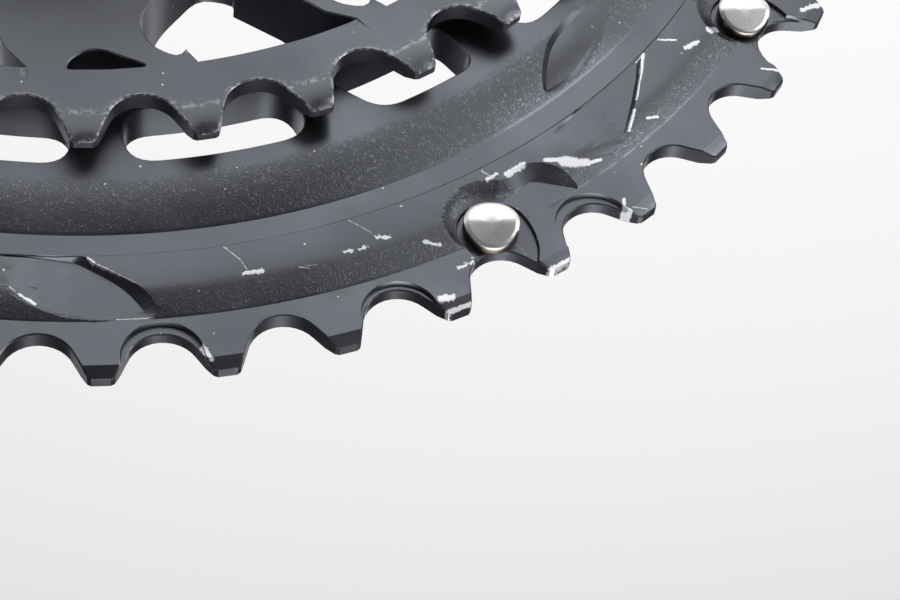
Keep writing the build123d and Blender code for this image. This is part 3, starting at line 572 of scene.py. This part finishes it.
given, result = turned.nodes.new("NodeGroupInput"), turned.nodes.new("NodeGroupOutput")
points = turned.nodes.new("GeometryNodePoints")
index = turned.nodes.new("GeometryNodeInputIndex")
step = add_node(turned, "ShaderNodeMath", operation="DIVIDE")
step.inputs[0].default_value = 2 * pi
turn = add_node(turned, "ShaderNodeMath", operation="MULTIPLY")
spin = turned.nodes.new("ShaderNodeCombineXYZ")
copy = turned.nodes.new("GeometryNodeInstanceOnPoints")
real = turned.nodes.new("GeometryNodeRealizeInstances")
weld = turned.nodes.new("GeometryNodeMergeByDistance")
paint = turned.nodes.new("GeometryNodeSetMaterial")
for out, into in (
    (given.outputs["Copies"], points.inputs["Count"]), (given.outputs["Copies"], step.inputs[1]),
    (index.outputs[0], turn.inputs[0]), (step.outputs[0], turn.inputs[1]), (turn.outputs[0], spin.inputs["Y"]),
    (points.outputs[0], copy.inputs["Points"]), (given.outputs["Geometry"], copy.inputs["Instance"]),
    (spin.outputs[0], copy.inputs["Rotation"]), (copy.outputs[0], real.inputs[0]), (real.outputs[0], weld.inputs[0]),
    (given.outputs["Weld Distance"], weld.inputs["Distance"]), (weld.outputs[0], paint.inputs["Geometry"]),
    (given.outputs["Finish"], paint.inputs["Material"]), (paint.outputs[0], result.inputs[0]),
):
    turned.links.new(out, into)


def show(name, mesh, material=None, sharp=28):
    """A mesh as an object at the origin, smooth except across its creases."""
    mesh.polygons.foreach_set("use_smooth", [True] * len(mesh.polygons))
    mesh.set_sharp_from_angle(angle=radians(sharp))
    made = bpy.data.objects.new(name, mesh)
    bpy.context.scene.collection.objects.link(made)
    if material is not None:
        made.data.materials.clear()
        made.data.materials.append(material)
    return made


def repeat(name, mesh, copies, material, sharp=28):
    """The mesh turned about the axle that many times, as one plain mesh."""
    seed = bpy.data.objects.new(name + "_seed", mesh)
    bpy.context.scene.collection.objects.link(seed)
    modifier = seed.modifiers.new("Turned copies", "NODES")
    modifier.node_group = turned
    modifier[copies_id] = copies
    modifier[finish_id] = material
    made = bpy.data.meshes.new_from_object(seed.evaluated_get(bpy.context.evaluated_depsgraph_get()))
    made.name = name
    seed.modifiers.remove(modifier)
    bpy.data.objects.remove(seed)
    print(name, copies, "copies,", len(made.polygons), "faces")
    return show(name, made, material, sharp)


# %% [markdown]
# ## Effects that several finishes share
#
# Grain from bead blasting, fine rings from the lathe, dust and rubbed places appear on most of the parts. Each
# is a node group with named inputs, so a finish only sets how strong it is there. Patterns are in the
# part's own coordinates, so they stay put when the crank turns.

# %% Node helpers
def group(name, inputs, outputs):
    tree = bpy.data.node_groups.new(name, "ShaderNodeTree")
    for label, kind, default in inputs:
        new_socket(tree, label, kind, default)
    for label, kind in outputs:
        new_socket(tree, label, kind, out=True)
    return tree, tree.nodes.new("NodeGroupInput"), tree.nodes.new("NodeGroupOutput")


def math(tree, operation, a, b=None, clamp=False):
    """A Math node whose inputs are numbers or sockets."""
    made = add_node(tree, "ShaderNodeMath", operation=operation, use_clamp=clamp)
    for n, value in enumerate((a, b)):
        if value is None:
            continue
        if isinstance(value, (int, float)):
            made.inputs[n].default_value = value
        else:
            tree.links.new(value, made.inputs[n])
    return made.outputs[0]


def noise(tree, scale, detail=3.0, vector=None, roughness=0.55):
    """A noise pattern in the part's own coordinates."""
    made = add_node(tree, "ShaderNodeTexNoise", in_Detail=detail, in_Roughness=roughness)
    if isinstance(scale, (int, float)):
        made.inputs["Scale"].default_value = scale
    else:
        tree.links.new(scale, made.inputs["Scale"])
    if vector is None:
        vector = tree.nodes.new("ShaderNodeTexCoord").outputs["Object"]
    tree.links.new(vector, made.inputs["Vector"])
    return made.outputs["Fac"]


def ramp(tree, value, low, high):
    """0 below low and 1 above high."""
    made = add_node(tree, "ShaderNodeMapRange", interpolation_type="SMOOTHSTEP")
    tree.links.new(value, made.inputs["Value"])
    made.inputs["From Min"].default_value = low
    made.inputs["From Max"].default_value = high
    return made.outputs["Result"]


FLOAT, COLOUR, VECTOR = "NodeSocketFloat", "NodeSocketColor", "NodeSocketVector"

# %% Blasted grain
blasted, given, result = group("Blasted grain", [("Scale", FLOAT, 5200.0), ("Amount", FLOAT, 1.0)],
                               [("Height", FLOAT), ("Painted Sparkle", FLOAT)])
fine = noise(blasted, given.outputs["Scale"], 2.0)
coarse = noise(blasted, math(blasted, "MULTIPLY", given.outputs["Scale"], 0.37), 2.0)
mixed = math(blasted, "ADD", math(blasted, "MULTIPLY", fine, 0.65), math(blasted, "MULTIPLY", coarse, 0.35))
blasted.links.new(math(blasted, "MULTIPLY", mixed, given.outputs["Amount"]), result.inputs["Height"])
# the brightest of the grain is handed on as painted highlights: specks of lighter colour that stand in for blasted
# facets catching the light
painted_grain_glint = ramp(blasted, mixed, 0.54, 0.65)
blasted.links.new(math(blasted, "MULTIPLY", painted_grain_glint, given.outputs["Amount"]), result.inputs["Painted Sparkle"])

# %% Rings left by the lathe
lathe, given, result = group("Lathe rings", [("Scale", FLOAT, 9000.0)], [("Height", FLOAT)])
place = lathe.nodes.new("ShaderNodeTexCoord")
split = lathe.nodes.new("ShaderNodeSeparateXYZ")
lathe.links.new(place.outputs["Object"], split.inputs[0])
across = math(lathe, "SQRT", math(lathe, "ADD", math(lathe, "POWER", split.outputs["X"], 2.0),
                                  math(lathe, "POWER", split.outputs["Z"], 2.0)))
join = lathe.nodes.new("ShaderNodeCombineXYZ")
lathe.links.new(across, join.inputs["X"])
lathe.links.new(noise(lathe, given.outputs["Scale"], 1.0, join.outputs[0]), result.inputs["Height"])

# %% Dust, smudges and rubbed places
dusty, given, result = group("Dust and smudges", [("Scale", FLOAT, 60.0)],
                             [("Smudge", FLOAT), ("Speck", FLOAT), ("Tone", FLOAT)])
broad = noise(dusty, given.outputs["Scale"], 4.0)
dusty.links.new(ramp(dusty, broad, 0.42, 0.66), result.inputs["Smudge"])
dusty.links.new(broad, result.inputs["Tone"])
grit = add_node(dusty, "ShaderNodeTexVoronoi", in_Scale=620.0, in_Randomness=1.0)
dusty.links.new(dusty.nodes.new("ShaderNodeTexCoord").outputs["Object"], grit.inputs["Vector"])
near = math(dusty, "LESS_THAN", grit.outputs["Distance"], 0.085)
few = ramp(dusty, noise(dusty, 240.0, 2.0), 0.56, 0.62)
dusty.links.new(math(dusty, "MULTIPLY", near, few), result.inputs["Speck"])

# %% A scratch or worn line between two places on a part
worn_line, given, result = group(
    "Worn line", [("Start", VECTOR, None), ("End", VECTOR, None), ("Width", FLOAT, 0.0001), ("Ragged", FLOAT, 0.5)],
    [("Mask", FLOAT)])
place = worn_line.nodes.new("ShaderNodeTexCoord").outputs["Object"]


def vector_math(tree, operation, a, b):
    made = add_node(tree, "ShaderNodeVectorMath", operation=operation)
    tree.links.new(a, made.inputs[0])
    if isinstance(b, tuple):
        made.inputs[1].default_value = b
    elif b is not None:
        tree.links.new(b, made.inputs[1])
    return made


flat_place = vector_math(worn_line, "MULTIPLY", place, (1.0, 0.0, 1.0)).outputs[0]
flat_start = vector_math(worn_line, "MULTIPLY", given.outputs["Start"], (1.0, 0.0, 1.0)).outputs[0]
flat_end = vector_math(worn_line, "MULTIPLY", given.outputs["End"], (1.0, 0.0, 1.0)).outputs[0]
offset = vector_math(worn_line, "SUBTRACT", flat_place, flat_start).outputs[0]
run = vector_math(worn_line, "SUBTRACT", flat_end, flat_start).outputs[0]
share = math(worn_line, "DIVIDE", vector_math(worn_line, "DOT_PRODUCT", offset, run).outputs["Value"],
             vector_math(worn_line, "DOT_PRODUCT", run, run).outputs["Value"], clamp=True)
scaled = add_node(worn_line, "ShaderNodeVectorMath", operation="SCALE")
worn_line.links.new(run, scaled.inputs[0])
worn_line.links.new(share, scaled.inputs["Scale"])
gap = vector_math(worn_line, "SUBTRACT", offset, scaled.outputs[0]).outputs[0]
far = add_node(worn_line, "ShaderNodeVectorMath", operation="LENGTH")
worn_line.links.new(gap, far.inputs[0])
ragged = math(worn_line, "MULTIPLY", math(worn_line, "SUBTRACT", noise(worn_line, 2600.0, 3.0), 0.5),
              given.outputs["Ragged"])
wide = math(worn_line, "MULTIPLY", given.outputs["Width"], math(worn_line, "ADD", 1.0, math(worn_line, "MULTIPLY", ragged, 4.0)))
thin = math(worn_line, "DIVIDE", far.outputs["Value"], math(worn_line, "MAXIMUM", wide, 0.000001))
mask = add_node(worn_line, "ShaderNodeMapRange", interpolation_type="SMOOTHSTEP")
worn_line.links.new(thin, mask.inputs["Value"])
for key, value in (("From Min", 0.6), ("From Max", 1.1), ("To Min", 1.0), ("To Max", 0.0)):
    mask.inputs[key].default_value = value
worn_line.links.new(mask.outputs["Result"], result.inputs["Mask"])


# %% [markdown]
# ## Finishes
#
# Every finish is a Principled shader with its own colour and gloss, to which the shared groups add variation.
# Anodising keeps the metal's sheen, so it is a dark metal and not a paint.

# %% A finish built from the shared groups
def finish(name, colour, rough, metal=1.0, grain=0.3, grain_scale=5200.0, rings=0.0, tone=0.25):
    """A material with blasted grain, lathe rings, smudges and specks; returns it with its useful sockets."""
    made = bpy.data.materials.new(name)
    made.use_nodes = True
    tree = made.node_tree
    shader = tree.nodes["Principled BSDF"]
    shader.inputs["Metallic"].default_value = metal
    use = {}
    for key, which in (("grain", blasted), ("rings", lathe), ("dust", dusty)):
        use[key] = tree.nodes.new("ShaderNodeGroup")
        use[key].node_tree = which
    use["grain"].inputs["Scale"].default_value = grain_scale
    dark = tuple(c * (1 - tone) for c in colour) + (1.0,)
    light = tuple(min(1.0, c * (1 + tone)) for c in colour) + (1.0,)
    shade = mix_colour(tree, use["dust"].outputs["Tone"], dark, light)
    shade = mix_colour(tree, use["dust"].outputs["Speck"], shade, (0.5, 0.5, 0.48, 1.0))
    gloss = math(tree, "ADD", rough, math(tree, "MULTIPLY", use["dust"].outputs["Smudge"], 0.1))
    height = math(tree, "ADD", math(tree, "MULTIPLY", use["grain"].outputs["Height"], grain),
                  math(tree, "MULTIPLY", use["rings"].outputs["Height"], rings))
    bump = add_node(tree, "ShaderNodeBump", in_Distance=0.00003)
    bump.inputs["Strength"].default_value = 1.0
    tree.links.new(height, bump.inputs["Height"])
    tree.links.new(bump.outputs[0], shader.inputs["Normal"])
    tree.links.new(shade, shader.inputs["Base Color"])
    tree.links.new(gloss, shader.inputs["Roughness"])
    return made, tree, shader, shade, gloss, bump, use


def mix_colour(tree, factor, a, b):
    """Mixes two colours, each a value or a socket."""
    made = add_node(tree, "ShaderNodeMix", data_type="RGBA")
    tree.links.new(factor, made.inputs[0])
    for value, socket in ((a, made.inputs[6]), (b, made.inputs[7])):
        if isinstance(value, tuple):
            socket.default_value = value
        else:
            tree.links.new(value, socket)
    return made.outputs[2]


def attribute(tree, name):
    made = add_node(tree, "ShaderNodeAttribute", attribute_name=name)
    return made.outputs["Fac"]


# %% The chainrings' black anodising, with its wear
RING_COLOUR = (0.122, 0.128, 0.145)
BARE_METAL = (0.86, 0.87, 0.88, 1.0)
ring_finish, tree, shader, shade, gloss, bump, use = finish("worn_black_anodising", RING_COLOUR, 0.33, rings=0.18, tone=0.12)
rough_mask = attribute(tree, "rough")
edge_mask = attribute(tree, "edge")
small_mask = attribute(tree, "small")
grain_height = math(tree, "MULTIPLY", use["grain"].outputs["Height"],
                    math(tree, "ADD", 0.22, math(tree, "MULTIPLY", rough_mask, 1.9)))
height = math(tree, "ADD", grain_height, math(tree, "MULTIPLY", use["rings"].outputs["Height"], 0.12))
tree.links.new(height, bump.inputs["Height"])
# on the rough cove, bevel, pit flares and tip chamfers these painted highlights lighten the black towards grey; they
# stand in for light caught by the blasted grain
painted_sparkle = math(tree, "MULTIPLY", use["grain"].outputs["Painted Sparkle"], rough_mask)
shade = mix_colour(tree, math(tree, "MULTIPLY", painted_sparkle, 0.45), shade, (0.42, 0.43, 0.45, 1.0))
# [angle, radius] of both ends, then the width in millimetres and how ragged it is
WORN_LINES = (
    ((-0.65, 84.4), (-0.3, 84.95), 0.2, 0.8), ((-0.2, 85.05), (1.56, 86.66), 0.10, 1.2),
    ((1.56, 86.66), (2.45, 87.53), 0.06, 1.0), ((-5.88, 88.05), (-5.4, 88.6), 0.06, 1.0),
    ((-5.23, 88.8), (-4.1, 89.8), 0.15, 0.9), ((1.1, 91.4), (3.45, 91.4), 0.06, 0.6),
    ((9.0, 84.2), (9.86, 86.1), 0.08, 0.9), ((9.86, 86.1), (10.15, 87.4), 0.05, 1.0),
    ((9.9, 87.8), (11.1, 87.9), 0.26, 1.2), ((18.4, 84.2), (19.5, 86.5), 0.05, 1.2),
    ((19.7, 87.2), (20.5, 87.7), 0.24, 1.2), ((17.1, 87.9), (17.6, 87.9), 0.19, 1.3),
    ((18.2, 88.0), (18.8, 88.0), 0.17, 1.3), ((13.7, 88.3), (14.3, 88.65), 0.07, 0.8),
    ((14.1, 88.3), (14.9, 88.5), 0.05, 0.8), ((22.7, 89.45), (23.6, 90.4), 0.22, 0.9),
    ((21.7, 96.4), (22.3, 96.7), 0.48, 0.6), ((21.6, 98.1), (23.4, 98.1), 0.3, 0.6),
    ((23.9, 93.6), (25.0, 93.6), 0.2, 2.2), ((28.9, 98.3), (30.8, 98.3), 0.35, 0.5),
    ((31.0, 86.2), (32.6, 86.1), 0.38, 0.5), ((29.6, 84.4), (29.9, 85.6), 0.10, 1.0),
    ((29.5, 85.65), (30.4, 85.6), 0.24, 0.8), ((34.3, 87.0), (35.2, 87.8), 0.32, 0.3),
    ((35.3, 88.2), (36.0, 89.0), 0.72, 0.2), ((36.0, 89.1), (36.8, 89.75), 0.52, 0.2),
    ((36.8, 89.9), (37.8, 90.3), 0.22, 0.3),
    ((36.8, 95.6), (36.25, 96.6), 0.2, 0.5), ((36.25, 96.6), (36.45, 97.3), 0.26, 0.5),
    ((36.75, 97.0), (37.55, 98.1), 0.06, 0.5), ((46.9, 84.2), (47.8, 84.2), 0.13, 0.4),
    ((47.8, 84.2), (46.06, 85.63), 0.22, 0.4), ((46.06, 85.63), (43.79, 87.53), 0.15, 0.6),
    ((42.9, 88.3), (41.3, 89.65), 0.22, 0.5), ((49.9, 84.4), (50.8, 86.0), 0.14, 0.8),
    ((50.6, 87.4), (51.8, 88.1), 0.3, 0.6), ((53.4, 88.3), (54.2, 88.6), 0.55, 0.4),
    ((43.2, 89.9), (43.9, 90.5), 0.18, 0.7), ((52.9, 95.8), (53.6, 97.8), 0.16, 0.8),
    ((59.6, 96.2), (61.0, 97.9), 0.35, 0.8), ((6.2, 95.4), (6.6, 97.2), 0.28, 0.5),
    ((1.75, 95.4), (1.5, 97.4), 0.13, 0.5),
)
wear = None
for start, end, width, ragged in WORN_LINES:
    line = tree.nodes.new("ShaderNodeGroup")
    line.node_tree = worn_line
    for key, (turn, where) in (("Start", start), ("End", end)):
        up, forward = at(where, turn)
        line.inputs[key].default_value = (forward * MM, 0.0, up * MM)
    line.inputs["Width"].default_value = width * MM
    line.inputs["Ragged"].default_value = ragged
    shown = math(tree, "MULTIPLY", line.outputs[0], 0.5 if width < 0.12 else 1.0)
    wear = shown if wear is None else math(tree, "MAXIMUM", wear, shown)
# the slots' and teeth's broken edges are rubbed bright here and there, more on the small ring
ragged_edge = math(tree, "MULTIPLY", ramp(tree, edge_mask, 0.35, 0.75), ramp(tree, noise(tree, 900.0, 3.0), 0.50, 0.60))
small_edge = math(tree, "MULTIPLY", ramp(tree, small_mask, 0.55, 0.9), ramp(tree, noise(tree, 1500.0, 4.0), 0.47, 0.56))
facing = tree.nodes.new("ShaderNodeSeparateXYZ")
tree.links.new(tree.nodes.new("ShaderNodeTexCoord").outputs["Normal"], facing.inputs[0])
on_face = ramp(tree, math(tree, "ABSOLUTE", facing.outputs["Y"]), 0.45, 0.7)
edge_wear = math(tree, "MAXIMUM", math(tree, "MULTIPLY", ragged_edge, 0.3), math(tree, "MULTIPLY", small_edge, 0.9))
edge_wear = math(tree, "MULTIPLY", edge_wear, on_face)
shade = mix_colour(tree, edge_wear, shade, (0.45, 0.45, 0.45, 1.0))
shade = mix_colour(tree, wear, shade, BARE_METAL)
tree.links.new(shade, shader.inputs["Base Color"])
bare_gloss = math(tree, "SUBTRACT", gloss, math(tree, "MULTIPLY", rough_mask, -0.06))
tree.links.new(math(tree, "SUBTRACT", bare_gloss, math(tree, "MULTIPLY", wear, -0.15)), shader.inputs["Roughness"])
print("ring finish has", len(tree.nodes), "nodes and", len(WORN_LINES), "worn lines")

# %% The rings
ring = repeat("chainrings", quarter, 4, ring_finish, 17)
body = show("small_ring_part", small_ring, ring_finish)
bpy.ops.object.select_all(action="DESELECT")
for one in (ring, body):
    one.select_set(True)
bpy.context.view_layer.objects.active = ring
bpy.ops.object.join()
bpy.ops.object.select_all(action="DESELECT")
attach(ring, "crank")
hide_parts("double_chainring")
print("chainrings:", len(ring.data.polygons), "faces")

# %% [markdown]
# ## Shift pins
#
# Each pin is a turned steel rivet. Chains have flattened its head into two faces that meet in a soft ridge:
# one level and one sloping away. Seen from above the head is very slightly three-cornered.

# %% One quarter's pins
def pin_mesh():
    """Heads and short shanks of the two pins of a quarter."""
    verts, faces = [], []
    around, rings = 48, (0.0, 0.35, 0.6, 0.8, 0.92, 1.0)
    for turn, where in PINS:
        centre, base = at(where, turn), len(verts)
        for ring_share in rings:
            for n in range(around):
                a = 2 * pi * n / around
                lobe = 3.02 * (1 + 0.035 * cos(3 * a))
                up, forward = ring_share * lobe * cos(a) * (0.91 if cos(a) > 0 else 1), ring_share * lobe * sin(a)
                crown = 1.52 - 0.03 * (ring_share ** 2) - 0.16 * (up + 0.3 + sqrt((up + 0.3) ** 2 + 0.05))
                crown -= 0.16 * max(0.0, ring_share - 0.92) / 0.08
                verts.append((centre[1] + forward, crown, centre[0] + up))
        for n in range(around):
            a = 2 * pi * n / around
            lobe = 3.02 * (1 + 0.035 * cos(3 * a))
            up = lobe * cos(a) * (0.91 if cos(a) > 0 else 1)
            verts.append((centre[1] + lobe * sin(a), -0.4, centre[0] + up))
        for level in range(len(rings)):
            for n in range(around):
                m = (n + 1) % around
                low, high = base + level * around, base + (level + 1) * around
                faces.append((low + n, high + n, high + m, low + m))
        faces.append(tuple(base + len(rings) * around + n for n in range(around))[::-1])
    mesh = bpy.data.meshes.new("pins_quarter")
    mesh.from_pydata([(x * MM, (y + TOOTH_FACE_Y) * MM, z * MM) for x, y, z in verts], [], faces)
    mesh.update()
    return mesh


pin_finish, tree, shader, shade, gloss, bump, use = finish("worn_pin_steel", (0.82, 0.80, 0.79), 0.34, grain=0.8, grain_scale=3600.0, tone=0.1)
# the pin's side walls get a painted shade, a dark brown in place of steel; only the faces of the head keep the steel's
# colour
facing = tree.nodes.new("ShaderNodeSeparateXYZ")
tree.links.new(tree.nodes.new("ShaderNodeTexCoord").outputs["Normal"], facing.inputs[0])
unshaded_head = ramp(tree, math(tree, "ABSOLUTE", facing.outputs["Y"]), 0.25, 0.8)
tree.links.new(mix_colour(tree, unshaded_head, (0.09, 0.075, 0.06, 1.0), shade), shader.inputs["Base Color"])
pins = repeat("shift_pins_worn", pin_mesh(), 4, pin_finish, 50)
import bmesh
tidy = bmesh.new()
tidy.from_mesh(pins.data)
bmesh.ops.remove_doubles(tidy, verts=tidy.verts, dist=1e-6)
bmesh.ops.recalc_face_normals(tidy, faces=tidy.faces)
tidy.to_mesh(pins.data)
tidy.free()
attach(pins, "crank")
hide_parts("shift_pins")

# %% [markdown]
# ## Finishes for the parts that keep their engineering shape
#
# The arms, axle, bearings and small hardware have the right shape already and only need their surfaces. Each
# of the record's material slots gets one finish with its own grain, lathe marks and gloss.

# %% Finishes by slot
SLOT_FINISHES = {
    "black_anodised": finish("black_anodised", (0.10, 0.105, 0.115), 0.38, rings=0.3, tone=0.15)[0],
    "arm_black": finish("arm_black", (0.075, 0.078, 0.088), 0.46, grain=0.9, grain_scale=2600.0, tone=0.15)[0],
    "axle_alloy": finish("axle_alloy", (0.62, 0.62, 0.64), 0.30, grain=0.2, rings=0.6)[0],
    "steel": finish("steel", (0.60, 0.59, 0.57), 0.30, grain=0.3, rings=0.5)[0],
    "dark_steel": finish("dark_steel", (0.12, 0.12, 0.13), 0.36, grain=0.6)[0],
    "bearing_steel": finish("bearing_steel", (0.70, 0.70, 0.72), 0.14, grain=0.1, rings=0.15, tone=0.06)[0],
    "cage_nylon": finish("cage_nylon", (0.42, 0.24, 0.10), 0.5, metal=0.0, grain=0.5, grain_scale=1500.0)[0],
    "seal_rubber": finish("seal_rubber", (0.03, 0.03, 0.031), 0.62, metal=0.0, grain=0.7, grain_scale=2000.0)[0],
    "black_plastic": finish("black_plastic", (0.032, 0.032, 0.034), 0.48, metal=0.0, grain=0.8, grain_scale=2400.0)[0],
}
for entry in frame["record"]["subparts"]:
    node = frame["nodes"].get(entry["node"])
    if node is None:
        continue
    node.data.materials.clear()
    node.data.materials.append(SLOT_FINISHES[entry["material_slot"]])
print("finished", len(frame["nodes"]), "engineering nodes in", len(SLOT_FINISHES), "finishes")

# %% [markdown]
# ## Floor, light and camera
#
# The crankset is shown over plain white paper. A big soft lamp overhead lights paper and parts, and a smaller
# one low on the right picks out the rough cove and bevel. Two weak ones low on the inboard side
# give the flat faces an even grey. The camera looks down at the inboard side.

# %% Floor
FLOOR_Z = cad_low.x - 0.004
floor_mesh = bpy.data.meshes.new("floor")
around = [(0.8 * cos(a), 0.8 * sin(a) - 0.22, FLOOR_Z) for a in np.linspace(0, 2 * pi, 65)[:-1]]
floor_mesh.from_pydata(around, [], [tuple(range(64))])
floor = bpy.data.objects.new("floor", floor_mesh)
bpy.context.scene.collection.objects.link(floor)
paper = bpy.data.materials.new("paper")
paper.use_nodes = True
paper.node_tree.nodes["Principled BSDF"].inputs["Base Color"].default_value = (0.9, 0.9, 0.9, 1)
paper.node_tree.nodes["Principled BSDF"].inputs["Roughness"].default_value = 0.7
floor_mesh.materials.append(paper)

# %% World: pale to the eye, dimmer in reflections
world = bpy.data.worlds.new("studio")
bpy.context.scene.world = world
world.use_nodes = True
nodes, links = world.node_tree.nodes, world.node_tree.links
seen = nodes.new("ShaderNodeLightPath")
around_light = nodes.new("ShaderNodeBackground")
around_light.inputs["Color"].default_value = (0.93, 0.95, 1.0, 1)
around_light.inputs["Strength"].default_value = 0.07
paper_light = nodes.new("ShaderNodeBackground")
paper_light.inputs["Color"].default_value = (0.92, 0.92, 0.92, 1)
blend = nodes.new("ShaderNodeMixShader")
links.new(seen.outputs["Is Camera Ray"], blend.inputs[0])
links.new(around_light.outputs[0], blend.inputs[1])
links.new(paper_light.outputs[0], blend.inputs[2])
links.new(blend.outputs[0], nodes["World Output"].inputs["Surface"])


# %% Lamps
def lamp(name, place, target, size, power, colour=(1, 1, 1)):
    """A soft square lamp that the eye doesn't see."""
    data = bpy.data.lights.new(name, "AREA")
    data.size, data.energy, data.color = size, power, colour
    made = bpy.data.objects.new(name, data)
    made.location = place
    made.rotation_euler = (Vector(target) - Vector(place)).to_track_quat("-Z", "Y").to_euler()
    made.visible_camera = False
    bpy.context.scene.collection.objects.link(made)
    return made


ring_top = Vector((0.045, TOOTH_FACE_Y * MM, 0.08))
lamp("overhead", (0.2, -0.2, 0.95), (0.05, -0.1, -0.2), 1.0, 16)
lamp("low_right", ring_top + 0.36 * Vector((0.69, 0.71, -0.08)), ring_top, 0.14, 0.35)
below = lamp("below", ring_top + Vector((-0.02, 0.195, -0.158)), ring_top + Vector((-0.01, 0, 0)), 0.26, 0.13)
below.data.shape, below.data.size_y = "RECTANGLE", 0.1
# the bottom bracket hides that lamp from the left of the view, so a small one shines past it there
past = lamp("past_bracket", (-0.025, 0.006, 0.044), (-0.025, -0.047, 0.087), 0.08, 0.014)
past.data.shape, past.data.size_y = "RECTANGLE", 0.045

# %% Camera
camera_data = bpy.data.cameras.new("camera")
camera = bpy.data.objects.new("camera", camera_data)
bpy.context.scene.collection.objects.link(camera)
bpy.context.scene.camera = camera
camera_data.lens, camera_data.sensor_width = 100.3, 36.0
camera_data.clip_start, camera_data.clip_end = 0.01, 10.0
up, forward = at(96.95, 22.14)
aim = Vector((forward * MM, TOOTH_FACE_Y * MM, up * MM))
stand = Vector((-4.364, 162.327, 243.812)) * MM
look = (aim - stand).normalized()
image_up = Vector((0.02157, 0.59466, -0.80369))
image_up = (image_up - image_up.dot(look) * look).normalized()
side = look.cross(image_up)
camera.matrix_world = Matrix.Translation(stand) @ Matrix((side, image_up, -look)).transposed().to_4x4()
bpy.context.scene.view_settings.view_transform = "Standard"
